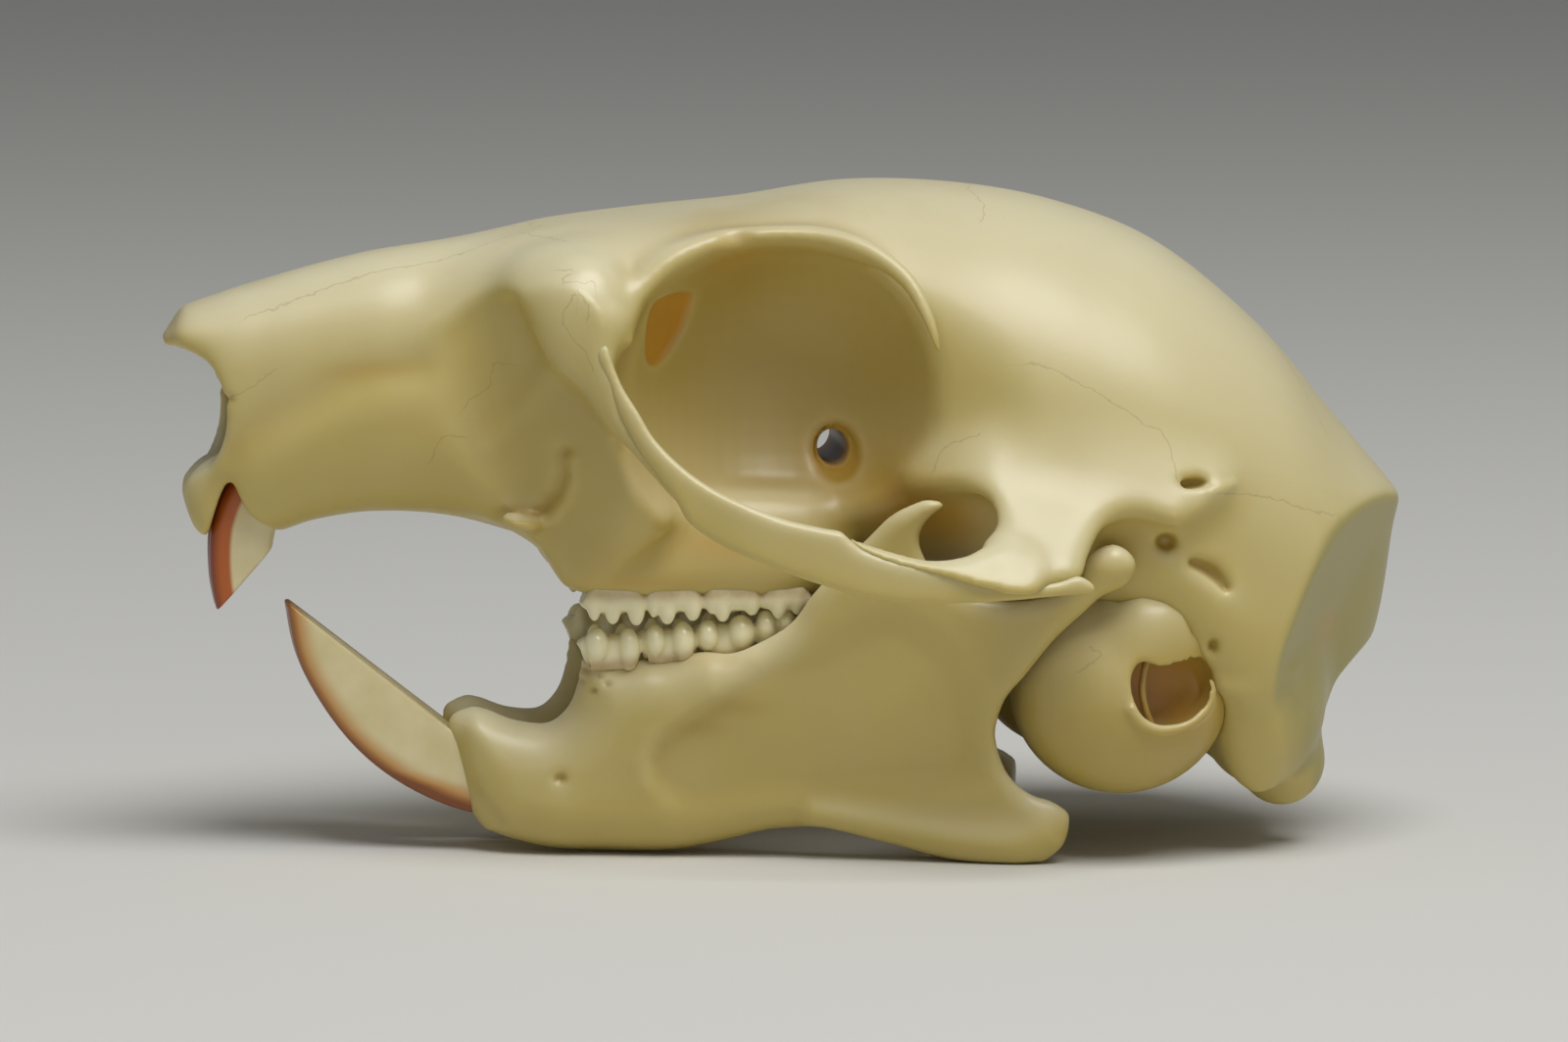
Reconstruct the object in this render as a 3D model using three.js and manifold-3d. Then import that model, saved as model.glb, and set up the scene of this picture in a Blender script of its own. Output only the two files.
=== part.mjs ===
import * as THREE from 'three';
import { mergeVertices } from 'three/addons/utils/BufferGeometryUtils.js';
import { ParametricGeometry } from 'three/addons/geometries/ParametricGeometry.js';
import Module from 'manifold-3d';

// Squirrel skull with the lower jaw in place, life size, in millimetres.
// +X runs from the nose to the back of the head, the animal's left is -Y and +Z is up.
// Every bone is a closed solid, and neighbours keep a thin seam of air between them.

const wasm = await Module();
wasm.setup();

// Driving sizes of the animal
const noseX = -31.0;
const backX = 31.2;
const domeTop = 33.4;
const domeHalf = 12.6;
const cheekHalf = 16.9;
const seam = 0.3;

// Where one bone of the cranium ends and the next begins
const snoutSutureX = -16.0;
const crownSutureX = 7.0;

// Colours of the bones and teeth
const boneColour = 0xd9cfa6;
const rearBoneColour = 0xc8bd92;
const boneRoughness = 0.42;
const enamelColour = 0xb5651d;
const toothRoughness = 0.28;

const leftSide = -1;
const rightSide = 1;

// A closed solid from any three.js geometry, turned so that its faces look outward
function solidFrom(geometry) {
  const bare = geometry.clone();
  bare.deleteAttribute('normal');
  bare.deleteAttribute('uv');
  const welded = mergeVertices(bare, 1e-4);
  const points = welded.getAttribute('position').array;
  const source = welded.index.array;
  const faces = [];
  let volume = 0;
  const a = new THREE.Vector3();
  const b = new THREE.Vector3();
  const c = new THREE.Vector3();
  for (let i = 0; i < source.length; i += 3) {
    const [p, q, r] = [source[i], source[i + 1], source[i + 2]];
    if (p === q || q === r || r === p) continue;
    faces.push(p, q, r);
    a.fromArray(points, 3 * p);
    b.fromArray(points, 3 * q);
    c.fromArray(points, 3 * r);
    volume += a.dot(b.clone().cross(c));
  }
  if (volume < 0) faces.reverse();
  const mesh = new wasm.Mesh({
    numProp: 3,
    vertProperties: new Float32Array(points),
    triVerts: new Uint32Array(faces),
  });
  return new wasm.Manifold(mesh);
}

const join = (...solids) => solids.reduce((whole, next) => whole.add(next));
const cut = (solid, ...tools) => tools.reduce((rest, tool) => rest.subtract(tool), solid);

// A value that runs smoothly through rows of [position, value, value, ...]
function smoothRow(rows, position) {
  let i = 0;
  while (i < rows.length - 2 && position > rows[i + 1][0]) i += 1;
  const slope = (k, column) => {
    const before = rows[Math.max(k - 1, 0)];
    const after = rows[Math.min(k + 1, rows.length - 1)];
    return (after[column] - before[column]) / (after[0] - before[0]);
  };
  const span = rows[i + 1][0] - rows[i][0];
  const t = THREE.MathUtils.clamp((position - rows[i][0]) / span, 0, 1);
  return rows[i].map((start, column) => {
    const end = rows[i + 1][column];
    const h = t * t * (3 - 2 * t);
    const lift = t * (1 - t) * (1 - t) * slope(i, column) - t * t * (1 - t) * slope(i + 1, column);
    return start * (1 - h) + end * h + lift * span;
  });
}

const power = (value, exponent) => Math.sign(value) * Math.abs(value) ** exponent;

// A body of upright sections along X. Each row is
// [x, top, bottom, half width, height of the widest line, squareness above, squareness below]
// and may go on with [middle y, sideways lean per mm of height].
function loft(rows, along, around) {
  const first = rows[0][0];
  const last = rows[rows.length - 1][0];
  const steps = along + 2;
  const place = (u, v, target) => {
    const ring = Math.round(u * steps);
    const inner = THREE.MathUtils.clamp((ring - 1) / along, 0, 1);
    const x = first + (last - first) * inner;
    const [, top, low, half, wide, up, down, middle = 0, lean = 0] = smoothRow(rows, x);
    const open = ring === 0 || ring === steps ? 0 : 1;
    const angle = 2 * Math.PI * (Math.round(v * around) % around) / around;
    const above = Math.sin(angle) >= 0;
    const exponent = 2 / (above ? up : down);
    const height = above ? top - wide : wide - low;
    const z = wide + open * height * power(Math.sin(angle), exponent);
    const y = middle + lean * (z - wide) + open * half * power(Math.cos(angle), exponent);
    target.set(x, y, z);
  };
  return solidFrom(new ParametricGeometry(place, steps, around));
}

// A rod of oval section along a smooth curve. Each row is
// [x, y, z, half size in the plane of the curve and `upright`, half size across]
function rod(rows, along, around, upright = new THREE.Vector3(0, 0, 1)) {
  const curve = new THREE.CatmullRomCurve3(rows.map((row) => new THREE.Vector3(row[0], row[1], row[2])));
  const sizes = rows.map((row, i) => [i / (rows.length - 1), row[3], row[4]]);
  const steps = along + 2;
  const place = (u, v, target) => {
    const ring = Math.round(u * steps);
    const t = THREE.MathUtils.clamp((ring - 1) / along, 0, 1);
    const open = ring === 0 || ring === steps ? 0 : 1;
    const centre = curve.getPoint(t);
    const tangent = curve.getTangent(t);
    const across = tangent.clone().cross(upright).normalize();
    const inPlane = across.clone().cross(tangent).normalize();
    const [, tall, wide] = smoothRow(sizes, t);
    const angle = 2 * Math.PI * (Math.round(v * around) % around) / around;
    target.copy(centre);
    target.addScaledVector(inPlane, open * tall * Math.sin(angle));
    target.addScaledVector(across, open * wide * Math.cos(angle));
  };
  return solidFrom(new ParametricGeometry(place, steps, around));
}

// An ellipsoid, tilted about Y by `pitch` degrees
function ovoid([x, y, z], [rx, ry, rz], around = 16, pitch = 0) {
  const ball = new THREE.SphereGeometry(1, around, Math.max(4, Math.round(around / 2)));
  ball.rotateX(Math.PI / 2);
  ball.scale(rx, ry, rz);
  ball.rotateY(THREE.MathUtils.degToRad(pitch));
  ball.translate(x, y, z);
  return solidFrom(ball);
}

// A plate whose outline is drawn in X and Z and whose depth runs along Y
function plate(outline, nearY, depth) {
  const shape = new THREE.Shape();
  shape.moveTo(outline[0][0], outline[0][1]);
  shape.splineThru(outline.slice(1).map(([x, z]) => new THREE.Vector2(x, z)));
  shape.closePath();
  const slab = new THREE.ExtrudeGeometry(shape, {
    depth,
    steps: 1,
    bevelEnabled: false,
    curveSegments: 2,
  });
  slab.rotateX(Math.PI / 2);
  slab.translate(0, nearY + depth, 0);
  return solidFrom(slab);
}

// Everything on the side of a plane that `normal` points to
function beyond(normal, point) {
  const size = 160;
  const box = new THREE.BoxGeometry(size, size, size);
  box.translate(0, 0, size / 2);
  const turn = new THREE.Quaternion();
  turn.setFromUnitVectors(new THREE.Vector3(0, 0, 1), normal.clone().normalize());
  box.applyQuaternion(turn);
  box.translate(point.x, point.y, point.z);
  return solidFrom(box);
}

const mirrored = (solid) => solid.mirror([0, 1, 0]);
const bothSides = (solid) => join(solid, mirrored(solid));
const onSide = (solid, side) => (side === leftSide ? solid : mirrored(solid));

// The cranium before it is divided: a long closed body with the sockets carved out
const vaultRows = [
  [noseX + 1.2, 27.1, 17.6, 3.1, 24.0, 2.3, 2.2],
  [-28.2, 27.9, 16.7, 4.2, 24.0, 2.4, 2.3],
  [-23.5, 29.3, 16.6, 4.9, 24.0, 2.4, 2.6],
  [-16.5, 30.6, 16.7, 5.7, 24.5, 2.4, 2.6],
  [-11.5, 31.5, 15.2, 8.4, 28.2, 2.5, 1.9],
  [-7.0, 32.0, 14.0, 9.3, 29.0, 2.8, 2.1],
  [-2.0, 32.5, 13.9, 9.0, 29.4, 2.8, 2.0],
  [3.5, domeTop - 0.05, 13.4, 10.2, 27.5, 2.4, 2.0],
  [9.0, 33.2, 12.0, 11.4, 22.5, 2.1, 2.2],
  [14.0, 32.25, 10.4, domeHalf - 0.3, 20.0, 2.0, 2.6],
  [19.0, 30.2, 8.2, domeHalf, 18.0, 2.0, 3.0],
  [24.0, 26.15, 4.4, 12.0, 14.5, 2.1, 3.2],
  [28.0, 21.5, 3.2, 10.6, 12.5, 2.4, 2.8],
  [backX, 17.7, 3.2, 8.0, 11.5, 2.6, 2.4],
];

// The eye socket is a deep bowl that reaches almost to the midline
const socket = { centre: [-1.1, -12.6, 22.9], radii: [8.1, 9.3, 8.7] };

// Behind and below it lie the hollows for the temple muscle
const templeHollows = [
  { centre: [4.6, -14.6, 22.5], radii: [6.2, 4.4, 7.0] },
  { centre: [-0.4, -14.2, 15.0], radii: [6.2, 7.0, 4.6] },
  { centre: [5.8, -13.6, 15.3], radii: [5.4, 4.8, 4.0] },
];

// The broad plate in front of the socket, where the chewing muscle started
const cheekPlateOutline = [
  [-18.4, 24.0], [-17.0, 27.2], [-13.6, 29.4], [-10.2, 29.2], [-9.0, 26.6], [-8.6, 23.6],
  [-7.0, 20.4], [-5.8, 17.6], [-7.2, 15.6], [-9.0, 14.2], [-11.6, 14.2], [-13.6, 16.6], [-15.6, 19.0],
];
const plateFaceNormal = new THREE.Vector3(-0.692, -0.662, -0.288);
const plateFacePoint = new THREE.Vector3(-11.2, -10.9, 24.6);
const plateBrowNormal = new THREE.Vector3(-0.62, -0.69, 0.38);
const plateBrowPoint = new THREE.Vector3(-10.0, -10.6, 27.5);

function cheekPlate() {
  const slab = plate(cheekPlateOutline, -13.4, 9.8);
  return cut(slab, beyond(plateFaceNormal, plateFacePoint), beyond(plateBrowNormal, plateBrowPoint));
}

// The bed of the chewing muscle sinks into the plate and the side of the snout
const muscleBedOutline = [
  [-20.5, 24.0], [-17.3, 27.5], [-15.0, 28.5], [-13.4, 28.0], [-12.3, 26.4], [-10.9, 24.1], [-9.2, 21.5],
  [-7.0, 18.9], [-5.5, 17.0], [-6.0, 12.5], [-12.0, 12.5], [-20.0, 18.0],
];
const bedFloorNormal = new THREE.Vector3(-0.713, -0.668, -0.215);
const bedFloorPoint = new THREE.Vector3(-10.5, -7.0, 14.4);
const bedSideNormal = new THREE.Vector3(0.12, -1, 0);
const bedSidePoint = new THREE.Vector3(-15.0, -5.3, 0);

function muscleBed() {
  const slab = plate(muscleBedOutline, -16.0, 12.0);
  const floor = beyond(bedFloorNormal, bedFloorPoint);
  return slab.intersect(floor).intersect(beyond(bedSideNormal, bedSidePoint));
}

// On each side a plane behind the neck crest, and a steeper one across both, bound the
// back of the head
const napeNormal = new THREE.Vector3(0.83, -0.46, -0.31);
const napePoint = new THREE.Vector3(31.7, 0, 14.6);
const napeCapNormal = new THREE.Vector3(0.937, 0, -0.35);
const napeCapPoint = new THREE.Vector3(30.2, 0, 12.2);

// The root of the cheek arch slopes outward from the side of the braincase and sends a
// thin tongue forward over the cheek bone
const archRootLean = 0.9;
const archRootRows = [
  [1.6, 17.1, 16.6, 0.3, 16.9, 2, 2, -16.2, archRootLean],
  [4.4, 16.3, 15.6, 0.5, 15.9, 2, 2, -16.6, archRootLean],
  [7.2, 16.6, 15.2, 0.7, 15.8, 2, 2, -16.6, archRootLean],
  [8.8, 19.4, 15.1, 0.8, 17.0, 2.4, 2.4, -14.8, archRootLean],
  [10.4, 21.6, 15.1, 1.0, 18.4, 3, 3, -13.1, archRootLean],
  [13.2, 21.6, 15.4, 1.1, 18.8, 3, 3, -12.7, archRootLean],
  [15.0, 21.4, 17.2, 1.1, 19.4, 3, 2.6, -12.1, archRootLean],
  [18.0, 20.6, 17.4, 0.9, 19.2, 3, 2.6, -12.1, archRootLean],
  [19.6, 20.0, 18.4, 0.6, 19.2, 2, 2, -12.0, archRootLean],
];

// The brow ridge runs round the top of the socket and ends in a hanging spur behind it
const browRows = [
  [-9.0, -10.6, 26.6, 0.7, 0.6],
  [-8.2, -9.9, 28.2, 0.6, 0.5],
  [-6.2, -9.3, 30.0, 0.5, 0.5],
  [-3.4, -8.8, 31.0, 0.5, 0.5],
  [0.4, -9.1, 31.2, 0.5, 0.5],
  [2.9, -10.2, 30.6, 0.7, 0.5],
  [4.9, -11.8, 29.3, 0.7, 0.45],
  [5.9, -12.9, 27.4, 0.5, 0.4],
  [6.2, -13.4, 25.6, 0.3, 0.3],
];

// The nasal bones overhang the opening of the nose
const nasalRows = [
  [noseX, 25.85, 25.4, 1.5, 25.6, 2, 2],
  [-30.2, 26.8, 25.35, 2.9, 25.9, 2.2, 2],
  [-29.0, 27.55, 25.1, 3.8, 25.9, 2.4, 2],
  [-27.2, 28.1, 24.0, 4.2, 25.5, 2.4, 2],
];
const noseNotch = { centre: [-31.6, 0, 22.2], radii: [4.0, 9.0, 4.2] };
const noseCavity = { centre: [-26.0, 0, 23.0], radii: [6.5, 3.4, 3.3] };
const snoutTip = { centre: [-28.5, -1.3, 17.7], radii: [1.4, 1.5, 2.0] };

// Gum ridges that hold the cheek teeth
const upperGumRows = [
  [-11.2, 16.6, 13.7, 0.9, 15.0, 2, 2, -5.0, 0],
  [-9.8, 17.2, 13.2, 1.7, 15.0, 2.4, 2.6, -5.4, 0],
  [-4.0, 17.0, 13.2, 1.8, 15.0, 2.4, 2.6, -5.5, 0],
  [0.6, 16.6, 13.2, 1.6, 15.0, 2.4, 2.6, -5.4, 0],
  [2.6, 16.0, 13.8, 0.9, 15.0, 2, 2, -5.0, 0],
];

// The wing-like plates under the back of the palate
const pterygoidRows = [
  [1.6, 16.0, 13.6, 0.9, 15.0, 2, 2, -3.1, 0],
  [4.5, 17.0, 13.0, 0.6, 14.5, 2, 2, -3.0, -0.1],
  [8.0, 16.0, 12.0, 0.5, 13.6, 2, 2, -3.0, -0.1],
  [10.4, 14.0, 10.8, 0.4, 12.4, 2, 2, -3.1, -0.1],
];

const tearKnob = { centre: [-9.3, -10.9, 26.3], radii: [1.0, 0.8, 1.1] };
const opticHole = { x: 2.2, z: 20.3, radius: 0.75 };

// Hearing capsules: swollen shells under the back of the skull with an ear opening each
const bulla = { centre: [16.1, -8.3, 8.6], radii: [5.5, 4.7, 5.3] };
const earHole = { centre: [18.1, -12.3, 8.85], radius: 2.05, rim: 0.45, depth: 2.6 };

// The back of the head: a swelling on the midline, two rounded joints beside the spinal
// opening, and a blunt spur behind each hearing capsule
const napeSwelling = { centre: [24.3, 0, 11.6], radii: [5.9, 5.2, 7.6], pitch: 20.5 };
const neckBase = { centre: [23.6, -5.4, 7.4], radii: [3.2, 4.2, 4.2] };
const neckJoint = { centre: [24.9, -4.2, 4.3], radii: [2.2, 1.7, 2.3] };
const spinalHole = { centre: [28.2, 0, 7.2], radii: [7.5, 3.5, 3.1], pitch: 10 };
const earSpurRows = [
  [22.4, -9.2, 9.4, 1.8, 2.2],
  [22.7, -8.5, 6.6, 1.5, 1.8],
  [23.0, -7.8, 4.6, 1.0, 1.3],
  [23.5, -7.4, 3.3, 0.45, 0.6],
];

// The blunt corner of bone behind the ear, where the neck crest ends
const earCornerRows = [
  [19.0, -10.4, 15.0, 1.6, 1.6],
  [20.6, -10.2, 12.4, 1.8, 1.7],
  [21.3, -10.2, 10.0, 1.4, 1.7],
  [21.1, -10.6, 8.6, 0.8, 1.3],
];
const rearSeamNormal = new THREE.Vector3(0.785, 0, -0.619);
const rearSeamPoint = new THREE.Vector3(30.2, 0, 18.2);

function wholeCranium() {
  const vault = loft(vaultRows, 36, 30);
  const blank = join(vault, bothSides(cheekPlate()));
  const temples = templeHollows.map((hollow) => bothSides(ovoid(hollow.centre, hollow.radii, 14)));
  const carved = cut(
    blank,
    bothSides(ovoid(socket.centre, socket.radii, 24)),
    ...temples,
    bothSides(muscleBed()),
    bothSides(beyond(napeNormal, napePoint)),
    beyond(napeCapNormal, napeCapPoint),
    ovoid(noseNotch.centre, noseNotch.radii, 18),
  );
  return join(
    carved,
    loft(nasalRows, 5, 16),
    bothSides(ovoid(snoutTip.centre, snoutTip.radii, 10)),
    bothSides(loft(upperGumRows, 7, 10)),
    bothSides(loft(pterygoidRows, 5, 6)),
    bothSides(rod(browRows, 15, 6)),
    bothSides(ovoid(tearKnob.centre, tearKnob.radii, 6)),
    ovoid(napeSwelling.centre, napeSwelling.radii, 16, napeSwelling.pitch),
    bothSides(ovoid(neckBase.centre, neckBase.radii, 10)),
    bothSides(ovoid(neckJoint.centre, neckJoint.radii, 12)),
    bothSides(rod(earSpurRows, 6, 10, new THREE.Vector3(0, 1, 0))),
    bothSides(rod(earCornerRows, 6, 10, new THREE.Vector3(0, 1, 0))),
  );
}

// A round hole straight across the skull
function crossHole(x, z, radius) {
  const bore = new THREE.CylinderGeometry(radius, radius, 14, 14);
  bore.translate(x, 0, z);
  return solidFrom(bore);
}

// Cheek teeth: a low crown rooted deep in the gum, with two pointed cusps on the outer
// side and a blunter one on the inner side
const cuspPlaces = [[-0.25, 0.27], [0.25, 0.27], [0.0, -0.26]];

function cheekTooth({ x, y, gum, tip, long, broad }) {
  const down = Math.sign(tip - gum);
  const high = Math.abs(tip - gum);
  const crown = ovoid([x, y, gum], [0.5 * long, 0.5 * broad, 0.8 * high], 6);
  const cusps = cuspPlaces.map(([alongX, outward]) => {
    const cone = new THREE.ConeGeometry(0.26 * long, 1.2 * high, 4);
    cone.rotateX(down * Math.PI / 2);
    cone.translate(x + alongX * long, y - outward * broad, tip - down * 0.6 * high);
    return solidFrom(cone);
  });
  return join(crown, ...cusps);
}

// The four cheek teeth of one row, front to back, on a gum line that may rise backward
function toothRow({ firstX, lengths, y, spread, gum, rise, tip, broad }) {
  const teeth = [];
  let x = firstX;
  for (const long of lengths) {
    const middle = x + long / 2;
    const lift = rise * (middle - firstX);
    const outward = y + spread * (middle - firstX);
    teeth.push(cheekTooth({ x: middle, y: outward, gum: gum + lift, tip: tip + lift, long, broad }));
    x += long;
  }
  return join(...teeth);
}

const upperRow = {
  firstX: -10.3,
  lengths: [2.75, 2.85, 2.85, 2.7],
  y: -5.4,
  spread: -0.01,
  gum: 13.3,
  rise: 0.0,
  tip: 12.0,
  broad: 3.0,
};
const lowerRow = {
  firstX: -10.5,
  lengths: [2.85, 2.9, 2.9, 2.5],
  y: -4.9,
  spread: -0.06,
  gum: 9.8,
  rise: 0.045,
  tip: 11.35,
  broad: 2.6,
};
const pegTooth = { centre: [-10.7, -4.9, 13.1], radii: [0.45, 0.5, 0.9] };

// Gnawing teeth: curved rods of square-cut enamel and dentine, bevelled behind the edge
const upperGnawRows = [
  [-24.0, -1.5, 18.6, 0.72, 1.0],
  [-25.7, -1.35, 17.9, 0.78, 1.45],
  [-26.9, -1.15, 16.2, 0.8, 1.6],
  [-27.2, -1.0, 13.9, 0.8, 1.6],
  [-26.6, -0.98, 11.6, 0.8, 1.6],
];
const lowerGnawRows = [
  [-12.0, -2.7, 3.3, 0.75, 1.7],
  [-16.0, -2.0, 4.1, 0.8, 2.05],
  [-19.6, -1.5, 6.3, 0.8, 2.15],
  [-22.6, -1.15, 9.7, 0.8, 2.1],
  [-24.0, -0.98, 12.6, 0.8, 1.9],
];
const upperBevel = {
  normal: new THREE.Vector3(0.75, 0, -0.66),
  point: new THREE.Vector3(-26.5, 0, 14.3),
};
const lowerBevel = {
  normal: new THREE.Vector3(0.62, 0, 0.785),
  point: new THREE.Vector3(-22.0, 0, 10.25),
};

const widened = (rows, extra) => rows.map(([x, y, z, tall, wide]) => [x, y, z, tall + extra, wide + extra]);

const gnawRod = (rows) => rod(rows, 10, 12, new THREE.Vector3(0, 1, 0));

function gnawingTooth(rows, bevel) {
  return cut(gnawRod(rows), beyond(bevel.normal, bevel.point));
}

const gnawSocket = (rows) => gnawRod(widened(rows, seam));

// Half of the lower jaw: a stout body in front that thins into a tall leaf behind
const jawRows = [
  [-16.9, 6.9, 4.8, 1.3, 5.9, 2.2, 2.2, -2.1, 0],
  [-16.0, 7.5, 2.4, 1.8, 5.0, 2.4, 2.4, -2.3, 0],
  [-14.4, 7.1, 0.5, 2.1, 4.0, 2.4, 2.4, -2.6, 0],
  [-11.8, 6.7, 0.0, 2.3, 3.6, 2.6, 2.4, -3.2, 0],
  [-10.7, 8.7, -0.2, 2.2, 4.0, 2.6, 2.4, -3.5, -0.05],
  [-9.8, 9.9, -0.2, 2.1, 4.4, 3.0, 2.4, -3.8, -0.1],
  [-7.0, 9.8, -0.2, 2.0, 4.6, 3.0, 2.4, -4.5, -0.1],
  [-3.5, 10.3, 0.5, 1.8, 5.0, 3.0, 2.2, -5.4, -0.15],
  [-0.6, 11.6, 1.4, 1.3, 6.5, 3.0, 2.4, -6.7, -0.2],
  [1.2, 14.0, 1.5, 0.9, 7.5, 3.0, 2.6, -7.6, -0.25],
  [5.0, 14.6, 1.0, 0.75, 7.5, 3.4, 2.6, -8.8, -0.25],
  [9.7, 13.4, -0.3, 0.7, 7.0, 3.6, 3.0, -10.2, -0.22],
];
const jawJointRows = [
  [7.6, -10.4, 10.6, 2.6, 0.6],
  [11.0, -11.6, 12.1, 1.9, 0.65],
  [13.4, -12.3, 13.9, 1.3, 0.75],
  [14.9, -12.7, 15.2, 0.9, 0.9],
];
const jawJoint = { centre: [14.9, -12.7, 15.2], radii: [1.2, 1.1, 1.0] };
const jawAngleRows = [
  [5.4, -7.9, 3.4, 2.0, 0.4],
  [8.6, -8.9, 2.4, 2.5, 0.75],
  [11.4, -9.6, 1.45, 2.1, 0.8],
  [12.9, -9.7, 1.5, 1.3, 0.75],
  [13.5, -9.7, 1.7, 0.6, 0.5],
];
const hookRows = [
  [3.9, -10.2, 13.2, 2.7, 0.6],
  [4.1, -10.9, 15.4, 2.0, 0.55],
  [4.9, -11.6, 17.2, 1.15, 0.5],
  [6.1, -12.1, 18.0, 0.65, 0.4],
  [7.0, -12.3, 18.05, 0.25, 0.3],
];

function halfJaw() {
  const bone = join(
    loft(jawRows, 22, 13),
    rod(jawJointRows, 4, 8),
    ovoid(jawJoint.centre, jawJoint.radii, 8),
    rod(jawAngleRows, 6, 8),
    rod(hookRows, 7, 8, new THREE.Vector3(1, 0, 0)),
    toothRow(lowerRow),
  );
  const ground = beyond(new THREE.Vector3(0, 0, -1), new THREE.Vector3(0, 0, 0));
  const midline = beyond(new THREE.Vector3(0, 1, 0), new THREE.Vector3(0, -seam / 2, 0));
  return cut(bone, gnawSocket(lowerGnawRows), ground, midline);
}

// The cheek bone hangs from the plate in front of the socket and runs back under the tongue
// of the arch root
const cheekBoneRows = [
  [-10.3, -11.2, 25.2, 0.4, 0.4],
  [-9.1, -11.9, 23.0, 0.7, 0.6],
  [-7.4, -12.9, 20.7, 0.72, 0.6],
  [-5.0, -14.0, 18.4, 1.0, 0.6],
  [-2.2, -15.2, 16.8, 1.25, 0.6],
  [1.4, -16.1, 15.6, 1.45, 0.6],
  [4.6, -16.6, 14.9, 0.95, 0.6],
  [9.0, -cheekHalf, 14.45, 0.6, 0.6],
  [13.6, -16.5, 14.3, 0.4, 0.45],
];

const group = new THREE.Group();

function addNode(name, solid, colour, roughness) {
  let largest = null;
  for (const body of solid.decompose()) {
    if (largest === null || body.volume() > largest.volume()) largest = body;
  }
  const mesh = largest.getMesh();
  const geometry = new THREE.BufferGeometry();
  geometry.setAttribute('position', new THREE.BufferAttribute(mesh.vertProperties, 3));
  geometry.setIndex(new THREE.BufferAttribute(mesh.triVerts, 1));
  geometry.computeVertexNormals();
  const material = new THREE.MeshStandardMaterial({ color: colour, roughness, metalness: 0 });
  const node = new THREE.Mesh(geometry, material);
  node.name = name;
  group.add(node);
}

const cranium = wholeCranium();
const forward = new THREE.Vector3(1, 0, 0);
const snoutSeam = new THREE.Vector3(snoutSutureX, 0, 0);
const crownSeam = new THREE.Vector3(crownSutureX, 0, 0);
const gap = new THREE.Vector3(seam, 0, 0);
const behindSnout = beyond(forward, snoutSeam);
const behindCrown = beyond(forward, crownSeam);
const behindHead = beyond(rearSeamNormal, rearSeamPoint);
const pockets = bothSides(ovoid(bulla.centre, bulla.radii.map((r) => r + seam), 18));

const snout = cut(
  cranium,
  behindSnout,
  ovoid(noseCavity.centre, noseCavity.radii, 14),
  bothSides(gnawSocket(upperGnawRows)),
);
addNode('rostrum', snout, boneColour, boneRoughness);

const cheekSeat = bothSides(rod(widened(cheekBoneRows, seam), 20, 8));
const face = cut(
  join(
    cranium.intersect(beyond(forward, snoutSeam.clone().add(gap))),
    bothSides(toothRow(upperRow)),
    bothSides(ovoid(pegTooth.centre, pegTooth.radii, 6)),
  ),
  behindCrown,
  crossHole(opticHole.x, opticHole.z, opticHole.radius),
  cheekSeat,
);
addNode('face', face, boneColour, boneRoughness);

const backHalf = cut(cranium.intersect(beyond(forward, crownSeam.clone().add(gap))), pockets);
const braincase = cut(
  join(cut(backHalf, behindHead), cut(bothSides(loft(archRootRows, 15, 8)), pockets)),
  cheekSeat,
  bothSides(ovoid(jawJoint.centre, jawJoint.radii.map((r) => r + seam), 8)),
  bothSides(rod(widened(jawJointRows, seam), 4, 8)),
);
addNode('braincase', braincase, boneColour, boneRoughness);

const rearStart = rearSeamPoint.clone().addScaledVector(rearSeamNormal, seam);
const occiput = cut(
  backHalf.intersect(beyond(rearSeamNormal, rearStart)),
  ovoid(spinalHole.centre, spinalHole.radii, 18, spinalHole.pitch),
);
addNode('occiput', occiput, rearBoneColour, boneRoughness);

for (const [side, word] of [[leftSide, 'left'], [rightSide, 'right']]) {
  const shell = ovoid(bulla.centre, bulla.radii, 18);
  const rim = new THREE.TorusGeometry(earHole.radius, earHole.rim, 6, 14);
  rim.rotateX(Math.PI / 2);
  rim.translate(...earHole.centre);
  const bore = new THREE.CylinderGeometry(earHole.radius - 0.2, earHole.radius - 0.4, 2 * earHole.depth, 14);
  bore.translate(...earHole.centre);
  const ear = cut(join(shell, solidFrom(rim)), solidFrom(bore));
  addNode(`auditory_bulla_${word}`, onSide(ear, side), rearBoneColour, boneRoughness);
  addNode(`zygomatic_arch_${word}`, onSide(rod(cheekBoneRows, 20, 8), side), boneColour, boneRoughness);
  addNode(`dentary_${word}`, onSide(halfJaw(), side), boneColour, boneRoughness);
  const upper = gnawingTooth(upperGnawRows, upperBevel);
  addNode(`upper_incisor_${word}`, onSide(upper, side), enamelColour, toothRoughness);
  const lower = gnawingTooth(lowerGnawRows, lowerBevel);
  addNode(`lower_incisor_${word}`, onSide(lower, side), enamelColour, toothRoughness);
}

// The origin goes under the middle of the skull, on the ground
const box = new THREE.Box3().setFromObject(group);
const middle = box.getCenter(new THREE.Vector3());
for (const node of group.children) {
  node.geometry.translate(-middle.x, -middle.y, -box.min.z);
}

export default group;
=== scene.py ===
import math

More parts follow.
